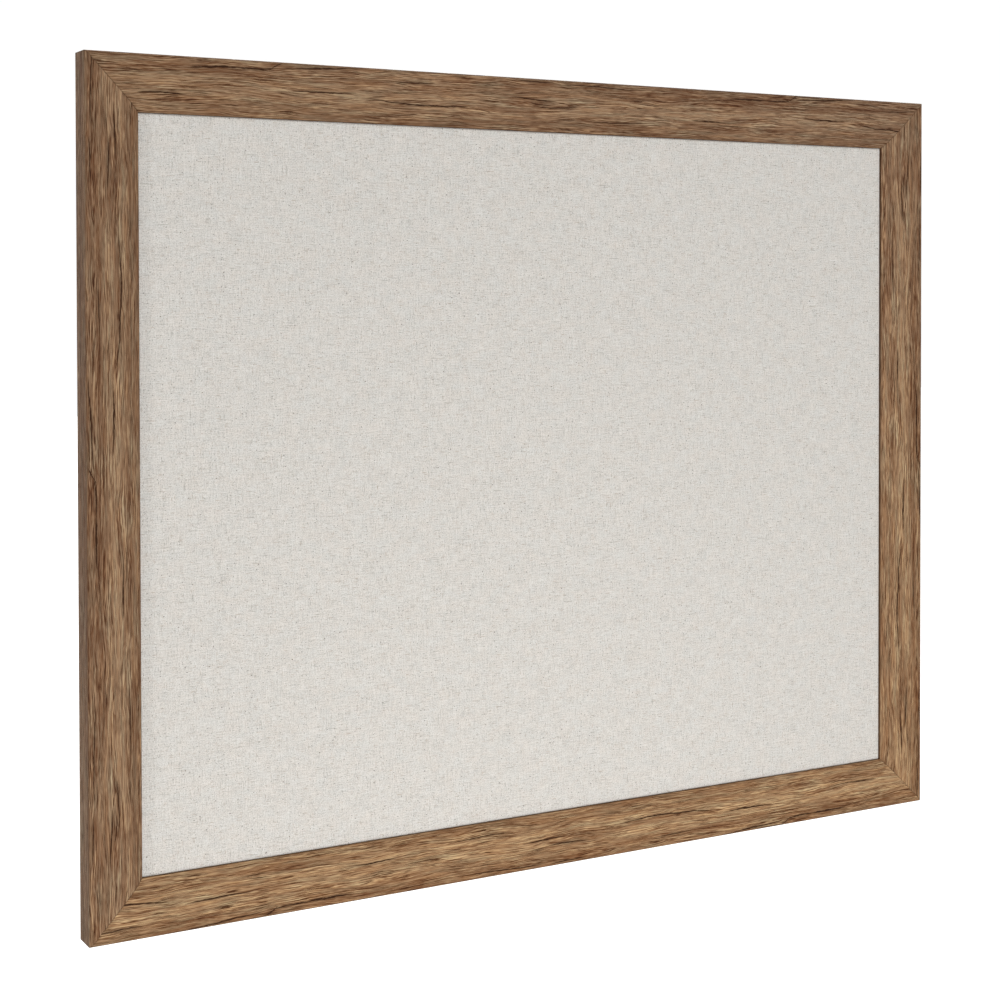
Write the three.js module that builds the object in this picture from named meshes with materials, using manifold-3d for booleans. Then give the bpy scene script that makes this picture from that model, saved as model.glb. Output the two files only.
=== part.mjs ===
// A linen pinboard in a mitred picture-frame moulding, with four ring hangers on its back.
// Millimetres. +X is right as seen from the front, +Z is up and the front faces -Y.
// The origin is on the wall, behind the middle of the board.

import * as THREE from 'three';
import { mergeVertices } from 'three/addons/utils/BufferGeometryUtils.js';
import Module from 'manifold-3d';

// The board over all
const boardWidth = 838;
const boardHeight = 686;

// Moulding: widths run in from its outer edge, depths run back from its crest
const mouldingFace = 45;
const mouldingDepth = 25;
const arrisRadius = 3;
const slopeWidth = 26;
const slopeDrop = 3.6;
const shoulderDrop = 6.2;
const shoulderBendShare = 0.56;
const sightLip = 2;
const rabbetWidth = 7;
const mitreRelief = 0.1;

// Insert, from the front: linen, pin core, the linen's flaps, backing panel
const insertPlay = 1;
const layerGap = 0.3;
const linenThickness = 0.6;
const linenFlap = 32;
const backingThickness = 2;

// Retainer points: flat steel, driven into the rabbet's wall over the backing panel
const pointThickness = 0.5;
const pointWidth = 6;
const pointLength = 15;
const pointInWood = 6;
const pointTip = 2.5;
const pointCover = 1.6;

// Corner nails: bent strip, driven into the back across each mitre
const nailStrip = 0.5;
const nailLeg = 6;
const nailHeight = 10;
const nailSink = 0.3;
const nailPlaceShares = [0.26, 0.76];

// Wall bumpers: rubber feet over the corners, which hold the board off the wall
const bumperRadius = 5.5;
const bumperHeight = 5;
const bumperRim = 1.6;
const bumperFaceRadius = 3.9;
const bumperSetback = 20;

// Hangers: a strap folded round the straight side of a D-ring
const strapWidth = 10;
const strapThickness = 0.8;
const strapTail = 38;
const strapHoleRadius = 2;
const strapHoleShares = [0.55, 0.84];
const hangerSetback = 84;
const wireRadius = 1.1;
const ringWidth = 18;
const ringReach = 14;
const ringBend = 2.5;
const wireGap = 0.5;
const eyePlay = 0.3;
const ringRestGap = 0.3;

// Hanger screws: pan head, cross recess
const shankRadius = 1.5;
const shankLength = 12;
const shankTip = 3;
const headRadius = 3.3;
const headRim = 0.7;
const headHeight = 2;
const recessWidth = 0.9;
const recessLength = 3.6;
const recessDepth = 1.1;

// Clearances shared by the fasteners, and the length by which a cutter runs past a face
const seatGap = 0.3;
const slotPlay = 0.3;
const overrun = 1;

// Counts
const railPointCount = 4;
const stilePointCount = 3;
const curveSteps = 5;
const wireSteps = 40;
const wireCurveSteps = 4;
const turnedSides = 12;

// Places worked out from the sizes above
const wallGap = seatGap + bumperHeight;
const backY = -wallGap;
const crestY = backY - mouldingDepth;
const woodBack = mouldingFace - rabbetWidth;
const linenDepth = slopeDrop + shoulderDrop + sightLip + layerGap;
const coreDepth = linenDepth + linenThickness + layerGap;
const pointDepth = mouldingDepth - pointCover - pointThickness;
const backingDepth = pointDepth - layerGap - backingThickness;
const flapDepth = backingDepth - layerGap - linenThickness;
const coreThickness = flapDepth - layerGap - coreDepth;
const insertWidth = boardWidth - 2 * (woodBack + insertPlay);
const insertHeight = boardHeight - 2 * (woodBack + insertPlay);
const eyeInner = wireRadius + eyePlay;
const eyeOuter = eyeInner + strapThickness;
const plateThickness = 2 * strapThickness;
const ringLean = Math.asin((seatGap + eyeOuter - wireRadius - ringRestGap) / ringReach);

// Finishes
const woodgrain = { color: 0x8a6a4e, roughness: 0.55, metalness: 0 };
const linen = { color: 0xcfcbc3, roughness: 0.95, metalness: 0 };
const fibreboard = { color: 0xa98f6c, roughness: 0.95, metalness: 0 };
const hardboard = { color: 0x6e4d33, roughness: 0.7, metalness: 0 };
const zincSteel = { color: 0xb9bbbd, roughness: 0.35, metalness: 1 };
const brightSteel = { color: 0xc8c9ca, roughness: 0.3, metalness: 1 };
const rubber = { color: 0x2a2a2c, roughness: 0.85, metalness: 0 };

// The four sides, clockwise from the front. Each is built as the top one and turned about Y,
// so that its +X end meets the next side. Hangers on the stiles point up for a wide board,
// and those on the rails point left for a tall one.
const sides = [
  {
    name: 'top',
    rail: 'frame_rail_top',
    corner: 'top_right',
    quarters: 0,
    length: boardWidth,
    reach: boardHeight / 2,
    points: railPointCount,
    hangerWay: -1,
  },
  {
    name: 'right',
    rail: 'frame_stile_right',
    corner: 'bottom_right',
    quarters: 1,
    length: boardHeight,
    reach: boardWidth / 2,
    points: stilePointCount,
    hangerWay: -1,
  },
  {
    name: 'bottom',
    rail: 'frame_rail_bottom',
    corner: 'bottom_left',
    quarters: 2,
    length: boardWidth,
    reach: boardHeight / 2,
    points: railPointCount,
    hangerWay: 1,
  },
  {
    name: 'left',
    rail: 'frame_stile_left',
    corner: 'top_left',
    quarters: 3,
    length: boardHeight,
    reach: boardWidth / 2,
    points: stilePointCount,
    hangerWay: 1,
  },
];

const wasm = await Module();
wasm.setup();

function toSolid(geometry) {
  const bare = geometry.clone();
  bare.deleteAttribute('normal');
  bare.deleteAttribute('uv');
  const welded = mergeVertices(bare);
  return new wasm.Manifold(new wasm.Mesh({
    numProp: 3,
    vertProperties: welded.attributes.position.array,
    triVerts: new Uint32Array(welded.index.array),
  }));
}

function toGeometry(solid) {
  const mesh = solid.getMesh();
  const geometry = new THREE.BufferGeometry();
  geometry.setAttribute('position', new THREE.BufferAttribute(mesh.vertProperties, 3));
  geometry.setIndex(new THREE.BufferAttribute(mesh.triVerts, 1));
  geometry.computeVertexNormals();
  return geometry;
}

function cut(geometry, cutters) {
  let solid = toSolid(geometry);
  for (const cutter of cutters) {
    solid = solid.subtract(toSolid(cutter));
  }
  return toGeometry(solid);
}

// An outline in X and Z, given thickness along Y from the place frontY backwards
function slab(outline, thickness, frontY) {
  const settings = { depth: thickness, bevelEnabled: false, curveSegments: curveSteps };
  const geometry = new THREE.ExtrudeGeometry(outline, settings);
  return geometry.rotateX(Math.PI / 2).translate(0, frontY + thickness, 0);
}

// A box centred on X and Z, from the place frontY backwards
function panel(width, height, thickness, frontY) {
  return new THREE.BoxGeometry(width, thickness, height).translate(0, frontY + thickness / 2, 0);
}

function part(name, geometry, finish) {
  const mesh = new THREE.Mesh(geometry, new THREE.MeshStandardMaterial(finish));
  mesh.name = name;
  return mesh;
}

// Moulding

// A rounded outer arris, a gentle slope inwards, a shoulder that rolls over into the sight edge,
// and the rabbet behind it
function mouldingSection() {
  const slopeEnd = arrisRadius + slopeWidth;
  const bendWidth = shoulderBendShare * (mouldingFace - slopeEnd);
  const bendDrop = slopeDrop * (1 + bendWidth / slopeWidth);
  const sightDepth = slopeDrop + shoulderDrop;
  const section = new THREE.Shape();
  section.moveTo(0, mouldingDepth);
  section.lineTo(0, arrisRadius);
  section.absarc(arrisRadius, arrisRadius, arrisRadius, Math.PI, 3 * Math.PI / 2, false);
  section.lineTo(slopeEnd, slopeDrop);
  section.quadraticCurveTo(slopeEnd + bendWidth, bendDrop, mouldingFace, sightDepth);
  section.lineTo(mouldingFace, sightDepth + sightLip);
  section.lineTo(woodBack, sightDepth + sightLip);
  section.lineTo(woodBack, mouldingDepth);
  return section;
}

// The section drawn out along X, each end cut back by its distance from the outer edge
function mitredRail(side) {
  const settings = { depth: 1, bevelEnabled: false, curveSegments: curveSteps };
  const geometry = new THREE.ExtrudeGeometry(mouldingSection(), settings);
  const position = geometry.attributes.position;
  for (let i = 0; i < position.count; i += 1) {
    const inwards = position.getX(i);
    const along = (position.getZ(i) - 1 / 2) * (side.length - 2 * (inwards + mitreRelief));
    position.setXYZ(i, along, crestY + position.getY(i), side.reach - inwards);
  }
  return geometry;
}

// Retainer points

function pointPlaces(side) {
  const spacing = (side.length - 2 * mouldingFace) / side.points;
  const places = [];
  for (let i = 0; i < side.points; i += 1) {
    places.push((i + 1 / 2 - side.points / 2) * spacing);
  }
  return places;
}

function retainerPoint(side, place) {
  const tip = side.reach - woodBack + pointInWood;
  const outline = new THREE.Shape();
  outline.moveTo(-pointWidth / 2, tip - pointLength);
  outline.lineTo(pointWidth / 2, tip - pointLength);
  outline.lineTo(pointWidth / 2, tip - pointTip);
  outline.lineTo(0, tip);
  outline.lineTo(-pointWidth / 2, tip - pointTip);
  return slab(outline, pointThickness, crestY + pointDepth).translate(place, 0, 0);
}

function pointSlots(side) {
  const width = pointWidth + 2 * slotPlay;
  const thickness = pointThickness + 2 * slotPlay;
  const length = pointInWood + slotPlay + overrun;
  const middle = side.reach - woodBack - overrun + length / 2;
  const slots = [];
  for (const place of pointPlaces(side)) {
    const slot = panel(width, length, thickness, crestY + pointDepth - slotPlay);
    slots.push(slot.translate(place, 0, middle));
  }
  return slots;
}

// Corner nails

function nailPlaces() {
  return nailPlaceShares.map((share) => share * woodBack);
}

// The strip's two legs, parallel to the outer edges, for the corner at the side's end, 1 or -1
function nailOutline(side, end, place, play) {
  const apexX = side.length / 2 - place + play;
  const apexZ = side.reach - place + play;
  const leg = nailLeg + 2 * play;
  const strip = nailStrip + 2 * play;
  const outline = new THREE.Shape();
  outline.moveTo(end * apexX, apexZ);
  outline.lineTo(end * (apexX - leg), apexZ);
  outline.lineTo(end * (apexX - leg), apexZ - strip);
  outline.lineTo(end * (apexX - strip), apexZ - strip);
  outline.lineTo(end * (apexX - strip), apexZ - leg);
  outline.lineTo(end * apexX, apexZ - leg);
  return outline;
}

function cornerNail(side, place) {
  return slab(nailOutline(side, 1, place, 0), nailHeight, backY - nailSink - nailHeight);
}

function nailSlots(side) {
  const depth = nailHeight + nailSink + slotPlay;
  const slots = [];
  for (const end of [1, -1]) {
    for (const place of nailPlaces()) {
      const outline = nailOutline(side, end, place, slotPlay);
      slots.push(slab(outline, depth + overrun, backY - depth));
    }
  }
  return slots;
}

// Wall bumpers

function wallBumper() {
  const profile = new THREE.Path();
  profile.moveTo(0, 0);
  profile.lineTo(bumperRadius, 0);
  profile.lineTo(bumperRadius, bumperRim);
  profile.quadraticCurveTo(bumperRadius, bumperHeight, bumperFaceRadius, bumperHeight);
  profile.lineTo(0, bumperHeight);
  return new THREE.LatheGeometry(profile.getPoints(curveSteps), turnedSides);
}

// Hangers, in their own frame: the eye's centre over the origin, the ring along +X, the wall at +Y

function strap() {
  const middleY = seatGap + eyeOuter;
  const foldX = eyeOuter * Math.cos(Math.PI / 4);
  const foldRise = middleY + foldX - seatGap - plateThickness;
  const profile = new THREE.Shape();
  profile.moveTo(-strapTail, seatGap);
  profile.lineTo(0, seatGap);
  profile.absarc(0, middleY, eyeOuter, -Math.PI / 2, 3 * Math.PI / 4, false);
  profile.lineTo(-foldX - foldRise, seatGap + plateThickness);
  profile.lineTo(-strapTail, seatGap + plateThickness);
  const eye = new THREE.Path();
  eye.absarc(0, middleY, eyeInner, 0, 2 * Math.PI, true);
  profile.holes.push(eye);
  const settings = { depth: strapWidth, bevelEnabled: false, curveSegments: curveSteps };
  const folded = new THREE.ExtrudeGeometry(profile, settings).translate(0, 0, -strapWidth / 2);

  const endRadius = strapWidth / 2;
  const outline = new THREE.Shape();
  outline.moveTo(eyeOuter + overrun, endRadius + overrun);
  outline.lineTo(endRadius - strapTail, endRadius + overrun);
  outline.lineTo(endRadius - strapTail, endRadius);
  outline.absarc(endRadius - strapTail, 0, endRadius, Math.PI / 2, 3 * Math.PI / 2, false);
  outline.lineTo(endRadius - strapTail, -endRadius - overrun);
  outline.lineTo(eyeOuter + overrun, -endRadius - overrun);
  const round = slab(outline, 2 * (middleY + overrun), -overrun);

  let solid = toSolid(folded).intersect(toSolid(round));
  for (const place of screwPlaces()) {
    const hole = new THREE.CylinderGeometry(strapHoleRadius, strapHoleRadius, middleY, turnedSides);
    solid = solid.subtract(toSolid(hole.translate(-place, middleY / 2, 0)));
  }
  return toGeometry(solid);
}

// The wire's middle line: a D whose straight side lies in the eye, where the two ends nearly meet
class RingLine extends THREE.Curve {
  constructor() {
    super();
    const half = ringWidth / 2;
    this.flat = new THREE.Path();
    this.flat.moveTo(0, wireGap / 2);
    this.flat.lineTo(0, half - ringBend);
    this.flat.absarc(ringBend, half - ringBend, ringBend, Math.PI, Math.PI / 2, true);
    this.flat.lineTo(ringReach - half, half);
    this.flat.absarc(ringReach - half, 0, half, Math.PI / 2, -Math.PI / 2, true);
    this.flat.lineTo(ringBend, -half);
    this.flat.absarc(ringBend, ringBend - half, ringBend, -Math.PI / 2, -Math.PI, true);
    this.flat.lineTo(0, -wireGap / 2);
  }

  getPoint(t, target = new THREE.Vector3()) {
    const place = this.flat.getPoint(t);
    return target.set(place.x, 0, place.y);
  }
}

function ring() {
  const section = new THREE.Shape();
  section.absarc(0, 0, wireRadius, 0, 2 * Math.PI, false);
  return new THREE.ExtrudeGeometry(section, {
    steps: wireSteps,
    curveSegments: wireCurveSteps,
    extrudePath: new RingLine(),
  });
}

function screwPlaces() {
  return strapHoleShares.map((share) => share * strapTail);
}

function screw() {
  const profile = new THREE.Path();
  profile.moveTo(0, -shankLength);
  profile.lineTo(shankRadius, shankTip - shankLength);
  profile.lineTo(shankRadius, 0);
  profile.lineTo(headRadius, 0);
  profile.lineTo(headRadius, headRim);
  profile.quadraticCurveTo(headRadius, headHeight, 0, headHeight);
  const turned = new THREE.LatheGeometry(profile.getPoints(curveSteps), turnedSides);
  const slotHeight = recessDepth + overrun;
  const slotMiddle = headHeight - recessDepth + slotHeight / 2;
  const slots = [
    new THREE.BoxGeometry(recessLength, slotHeight, recessWidth).translate(0, slotMiddle, 0),
    new THREE.BoxGeometry(recessWidth, slotHeight, recessLength).translate(0, slotMiddle, 0),
  ];
  return cut(turned, slots);
}

function hangerPlace(side) {
  return side.hangerWay * (side.length / 2 - hangerSetback);
}

function screwHoles(side) {
  const radius = shankRadius + slotPlay;
  const length = shankLength + overrun;
  const holes = [];
  for (const place of screwPlaces()) {
    const hole = new THREE.CylinderGeometry(radius, radius, length, turnedSides);
    const along = hangerPlace(side) - side.hangerWay * place;
    holes.push(hole.translate(along, backY + overrun - length / 2, side.reach - woodBack / 2));
  }
  return holes;
}

function hanger(side) {
  const group = new THREE.Group();
  group.position.set(hangerPlace(side), backY, side.reach - woodBack / 2);
  group.rotation.y = side.hangerWay > 0 ? 0 : Math.PI;
  const swinging = part(`hanger_ring_${side.name}`, ring(), brightSteel);
  swinging.position.y = seatGap + eyeOuter;
  swinging.rotation.z = -ringLean;
  group.add(part(`hanger_strap_${side.name}`, strap(), zincSteel));
  group.add(swinging);
  screwPlaces().forEach((place, i) => {
    const driven = part(`hanger_screw_${side.name}_${i + 1}`, screw(), zincSteel);
    driven.position.set(-place, seatGap + plateThickness + slotPlay, 0);
    group.add(driven);
  });
  return group;
}

function frameSide(side) {
  const group = new THREE.Group();
  group.rotation.y = side.quarters * Math.PI / 2;
  const cutters = [...pointSlots(side), ...nailSlots(side), ...screwHoles(side)];
  const bumper = part(`wall_bumper_${side.corner}`, wallBumper(), rubber);
  bumper.position.set(
    side.length / 2 - bumperSetback,
    backY + seatGap,
    side.reach - bumperSetback,
  );
  group.add(part(side.rail, cut(mitredRail(side), cutters), woodgrain));
  group.add(bumper);
  group.add(hanger(side));
  pointPlaces(side).forEach((place, i) => {
    const point = retainerPoint(side, place);
    group.add(part(`retainer_point_${side.name}_${i + 1}`, point, zincSteel));
  });
  nailPlaces().forEach((place, i) => {
    const nail = cornerNail(side, place);
    group.add(part(`corner_nail_${side.corner}_${i + 1}`, nail, zincSteel));
  });
  return group;
}

// Insert

// One sheet over the core's front, round its four edges, and in flaps on its back
function linenCover() {
  const wrapDepth = flapDepth + linenThickness - linenDepth;
  const innerWidth = insertWidth - 2 * linenThickness;
  const innerHeight = insertHeight - 2 * linenThickness;
  const innerDepth = wrapDepth - 2 * linenThickness;
  const innerY = crestY + linenDepth + linenThickness;
  const sheet = panel(insertWidth, insertHeight, wrapDepth, crestY + linenDepth);
  const room = panel(innerWidth, innerHeight, innerDepth, innerY);
  const windowWidth = insertWidth - 2 * linenFlap;
  const windowHeight = insertHeight - 2 * linenFlap;
  const opening = panel(windowWidth, windowHeight, wrapDepth, innerY);
  return cut(sheet, [room, opening]);
}

function pinCore() {
  const inset = 2 * (linenThickness + layerGap);
  return panel(insertWidth - inset, insertHeight - inset, coreThickness, crestY + coreDepth);
}

function backingPanel() {
  return panel(insertWidth, insertHeight, backingThickness, crestY + backingDepth);
}

const pinboard = new THREE.Group();
for (const side of sides) {
  pinboard.add(frameSide(side));
}
pinboard.add(part('linen_cover', linenCover(), linen));
pinboard.add(part('pin_core', pinCore(), fibreboard));
pinboard.add(part('backing_panel', backingPanel(), hardboard));

export default pinboard;
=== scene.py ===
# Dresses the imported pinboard: a linen-covered board in a mitred woodgrain moulding, with ring
# hangers, retainer points, corner nails and rubber bumpers on its back.

import math
from collections import namedtuple

import bmesh
import bpy
from mathutils import Matrix, Vector, noise


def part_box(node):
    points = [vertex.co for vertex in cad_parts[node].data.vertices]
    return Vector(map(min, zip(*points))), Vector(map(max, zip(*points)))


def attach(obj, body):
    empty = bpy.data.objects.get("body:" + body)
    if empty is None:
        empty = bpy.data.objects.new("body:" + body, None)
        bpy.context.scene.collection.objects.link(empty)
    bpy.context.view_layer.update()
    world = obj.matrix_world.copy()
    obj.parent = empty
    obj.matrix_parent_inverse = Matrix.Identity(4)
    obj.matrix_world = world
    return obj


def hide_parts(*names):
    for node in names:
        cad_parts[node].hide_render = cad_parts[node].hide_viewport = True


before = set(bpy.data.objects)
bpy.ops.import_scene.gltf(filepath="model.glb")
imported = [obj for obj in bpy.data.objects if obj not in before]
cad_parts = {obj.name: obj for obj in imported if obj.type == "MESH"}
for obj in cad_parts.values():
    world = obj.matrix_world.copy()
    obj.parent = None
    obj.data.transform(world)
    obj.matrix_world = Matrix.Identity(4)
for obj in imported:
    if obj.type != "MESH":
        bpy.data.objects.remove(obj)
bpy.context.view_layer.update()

MM = 0.001

# Moulding, in millimetres: widths run in from its outer edge, depths run back from its crest
BOARD_WIDTH = 838
BOARD_HEIGHT = 686
MOULDING_FACE = 45
MOULDING_DEPTH = 25
ARRIS_RADIUS = 3
SLOPE_WIDTH = 26
SLOPE_DROP = 3.6
SHOULDER_DROP = 6.2
SHOULDER_BEND_SHARE = 0.56
SIGHT_LIP = 2
SIGHT_RADIUS = 0.7
SIGHT_ROUND_DROP = 0.32
SIGHT_ROUND_ANGLE = -52
BACK_RADIUS = 0.4
RABBET_WIDTH = 7
MITRE_RELIEF = 0.1
FOIL_TURN_IN = 7
WALL_GAP = 5.3
WOOD_BACK = MOULDING_FACE - RABBET_WIDTH
SIGHT_DEPTH = SLOPE_DROP + SHOULDER_DROP
LEDGE_DEPTH = SIGHT_DEPTH + SIGHT_LIP
BACK_Y = -WALL_GAP
CREST_Y = BACK_Y - MOULDING_DEPTH

# Corner nails, in millimetres: bent strip across each mitre, driven just below the surface
NAIL_STRIP = 0.5
NAIL_LEG = 6
NAIL_HEIGHT = 10
NAIL_SINK = 0.3
NAIL_CURL = 0.15
NAIL_TIP = 0.5
NAIL_PLACE_SHARES = (0.26, 0.76)

# Each side is made as the top one and turned about Y by quarters. All rails are cut from one printed
# stock, each from its own stretch of it. A side's darkening, painted shade for how the light falls on
# that rail together with some of the print's own tone, is given at both ends, clockwise from the front
Side = namedtuple("Side", "name rail quarters length reach points hanger_way print_start weathering")
SIDES = (
    Side("top", "frame_rail_top", 0, BOARD_WIDTH, BOARD_HEIGHT / 2, 4, -1, 0, (0.56, 0.89)),
    Side("right", "frame_stile_right", 1, BOARD_HEIGHT, BOARD_WIDTH / 2, 3, -1, 325, (0.78, 0.14)),
    Side("bottom", "frame_rail_bottom", 2, BOARD_WIDTH, BOARD_HEIGHT / 2, 4, 1, 509, (0.0, 0.0)),
    Side("left", "frame_stile_left", 3, BOARD_HEIGHT, BOARD_WIDTH / 2, 3, 1, 315, (0.66, 0.74)),
)

# How many sections each rail is drawn through
RAIL_STATIONS = 3


# What every tree is made with

def colour(hex_code):
    """An sRGB hex colour as linear red, green, blue and alpha."""
    channels = [int(hex_code[i:i + 2], 16) / 255 for i in (1, 3, 5)]
    linear = [c / 12.92 if c <= 0.04045 else ((c + 0.055) / 1.055) ** 2.4 for c in channels]
    return (*linear, 1.0)


def add(tree, kind, inputs=None, **settings):
    """Adds a node with its settings, and with a value or a link on each input named by its name or place."""
    node = tree.nodes.new(kind)
    for name, value in settings.items():
        setattr(node, name, value)
    for key, value in (inputs or {}).items():
        if isinstance(key, int):
            socket = node.inputs[key]
        else:
            socket = next(s for s in node.inputs if s.name == key and s.enabled)
        if isinstance(value, bpy.types.Node):
            value = next(s for s in value.outputs if s.enabled)
        if isinstance(value, bpy.types.NodeSocket):
            tree.links.new(value, socket)
        else:
            socket.default_value = value
    return node


# What the finishes share

def new_finish(name):
    """An empty material and its tree."""
    material = bpy.data.materials.new(name)
    material.use_nodes = True
    material.node_tree.nodes.clear()
    return material, material.node_tree


def grain(tree, vector, size, seed, detail=2.0, roughness=0.55):
    """Noise whose features are as long as size says, in millimetres, in each direction of the vector. With
    more detail and roughness it splits into finer ones."""
    placed = add(tree, "ShaderNodeMapping", {
        "Vector": vector, "Scale": tuple(1 / (s * MM) for s in size), "Location": (seed, 2.7 * seed, seed)})
    return add(tree, "ShaderNodeTexNoise", {
        "Vector": placed, "Scale": 1.0, "Detail": detail, "Roughness": roughness})


def set_ramp(ramp, stops):
    """Gives a colour ramp its stops, each a place and a hex colour."""
    elements = ramp.color_ramp.elements
    while len(elements) < len(stops):
        elements.new(0.5)
    for element, (place, hex_code) in zip(elements, stops):
        element.position = place
        element.color = colour(hex_code)


# The printed foil repeats along the stock, and is this wide round the section, in millimetres
PRINT_REPEAT = 521
PRINT_WIDTH = 80

# How far the grain wanders off the rail's own line, in millimetres
PRINT_WANDER = 4.5

# Streaks of the print: length along the grain and width across it in millimetres, weight, and how far
# each one splits into finer ones
PRINT_STREAKS = (
    (420, 9, 0.46, 2.0),
    (110, 12, 0.48, 3.0),
    (60, 2.2, 0.34, 3.0),
    (46, 0.5, 1.55, 2.0),
    (9, 0.5, 1.05, 1.0),
)

# Streaks narrower than this, in millimetres, come and go in patches
FINE_WIDTH = 1

# Growth lines of the print in millimetres: how far apart, and how far they stray
LINE_SPACING = 2.4
LINE_STRAY = 11

# Bands across the print: place across it in millimetres, and level. They are partly the print's own
# tone and partly painted shade of the section. It is darker beside the outer arris and before the
# shoulder
PRINT_BANDS_AND_SHADE = (
    (0, 0.42), (20, 0.43), (28, 0.44), (34, 0.44), (41, 0.57), (48, 0.56), (53, 0.62), (57, 0.50),
    (64, 0.50), (70, 0.44), (PRINT_WIDTH, 0.44),
)

# Where the painted shade on the lip sets in and is full, in millimetres across the print
LIP_SHADE_WAY = (69.0, 69.9)

# How far from a mitre the touching up is full and ends, in millimetres
MITRE_TOUCH_UP = (0.3, 0.8)

# Cracks of the print in millimetres: start and end along it, place across it at both ends, sag, width
PRINT_CRACKS = (
    (84, 128, 30.3, 29.9, 0.2, 1.5),
    (118, 158, 29.9, 28.6, 0.7, 0.9),
    (150, 162, 30.8, 24.4, -0.8, 0.8),
    (160, 232, 28.4, 23.8, 0.3, 0.9),
    (170, 228, 45.4, 44.6, 0.4, 1.0),
    (236, 340, 48.0, 50.6, 2.6, 1.1),
    (42, 82, 52.9, 52.4, -0.5, 0.9),
    (374, 419, 40.8, 41.6, 0.3, 0.8),
    (379, 415, 26.4, 25.6, 0.3, 0.7),
    (420, 500, 27.4, 28.8, -0.5, 0.7),
    (396, 442, 47.4, 46.6, 0.3, 0.8),
    (452, 514, 58.4, 57.0, 0.5, 0.6),
    (262, 300, 33.8, 33.0, 0.2, 0.6),
)

# How far the cracks wiggle to either side, in millimetres
CRACK_WIGGLE = 1.8

# The shade beside a crack and its dark core: how far inside its edge each sets in and is full, in
# millimetres, and how dark it gets
CRACK_SHADE = (-2.0, -0.1, 0.18)
CRACK_CORE = (-0.3, 0.12, 1.15)

# Smudges of the print in millimetres: place along it and across it, half length, half width, and how
# much darker. The grain swerves round them, and below nought they are paler instead
PRINT_SMUDGES = (
    (80, 58.0, 15, 3.2, 0.20),
    (131, 59.4, 15, 2.0, 0.18),
    (190, 63.6, 24, 1.8, 0.12),
    (155, 27.5, 6, 3.4, 0.16),
    (386, 45.4, 28, 3.8, 0.20),
    (399, 56.0, 8, 2.0, 0.16),
    (397, 28.0, 24, 3.2, 0.16),
    (500, 66.0, 40, 2.2, 0.10),
    (205, 47.6, 34, 2.6, -0.13),
    (320, 54.4, 25, 1.5, -0.17),
    (268, 38.0, 40, 3.2, -0.08),
    (40, 38.0, 30, 4.0, -0.07),
    (470, 44.0, 40, 4.0, -0.07),
)

# How fast a smudge fades outwards, and how much the grain swerves
SMUDGE_FALL = -0.8
SMUDGE_SWERVE = -0.45


def print_smudges(tree, place, across, line):
    """How dark the smudges make each spot, and the grain's line once it swerves round them."""
    smudges = 0.0
    for at_along, at_across, half_length, half_width, dark in PRINT_SMUDGES:
        off_along = add(tree, "ShaderNodeMath", {0: place, 1: at_along * MM}, operation="SUBTRACT")
        off_across = add(tree, "ShaderNodeMath", {0: across, 1: at_across * MM}, operation="SUBTRACT")
        way_along = add(tree, "ShaderNodeMath", {0: off_along, 1: half_length * MM}, operation="DIVIDE")
        way_across = add(tree, "ShaderNodeMath", {0: off_across, 1: half_width * MM}, operation="DIVIDE")
        square = add(tree, "ShaderNodeMath", {0: way_across, 1: way_across}, operation="MULTIPLY")
        reach = add(tree, "ShaderNodeMath", {0: way_along, 1: way_along, 2: square}, operation="MULTIPLY_ADD")
        fall = add(tree, "ShaderNodeMath", {0: reach, 1: SMUDGE_FALL}, operation="MULTIPLY")
        smudge = add(tree, "ShaderNodeMath", {0: math.e, 1: fall}, operation="POWER")
        push = add(tree, "ShaderNodeMath", {0: smudge, 1: off_across}, operation="MULTIPLY")
        line = add(tree, "ShaderNodeMath", {0: push, 1: SMUDGE_SWERVE, 2: line}, operation="MULTIPLY_ADD")
        smudges = add(tree, "ShaderNodeMath", {0: smudge, 1: dark, 2: smudges}, operation="MULTIPLY_ADD")
    return smudges, line


def growth_lines(tree, bent, line):
    """Lines that are dark on one side and fade on the other, each of its own strength, and broken up."""
    stray = add(tree, "ShaderNodeMapRange", {
        "Value": grain(tree, bent, (240, 20, 1), 61.0, 3.0, 0.45),
        "To Min": -LINE_STRAY * MM, "To Max": LINE_STRAY * MM})
    strayed = add(tree, "ShaderNodeMath", {0: line, 1: stray}, operation="ADD")
    way = add(tree, "ShaderNodeMath", {0: strayed, 1: LINE_SPACING * MM}, operation="DIVIDE")
    number = add(tree, "ShaderNodeMath", {0: way}, operation="FLOOR")
    strength = add(tree, "ShaderNodeTexWhiteNoise", {"W": number}, noise_dimensions="1D").outputs["Value"]
    share = add(tree, "ShaderNodeMath", {0: way, 1: number}, operation="SUBTRACT")
    fading = add(tree, "ShaderNodeMapRange", {
        "Value": share, "From Min": 0.0, "From Max": 0.32, "To Min": 1.0, "To Max": 0.0})
    broken = add(tree, "ShaderNodeMapRange", {
        "Value": grain(tree, bent, (46, 2.2, 1), 83.0, 3.0),
        "From Min": 0.4, "From Max": 0.62, "To Min": 0.0, "To Max": 0.5}, interpolation_type="SMOOTHSTEP")
    lines = add(tree, "ShaderNodeMath", {0: fading, 1: broken}, operation="MULTIPLY")
    return add(tree, "ShaderNodeMath", {0: lines, 1: strength}, operation="MULTIPLY")


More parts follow.
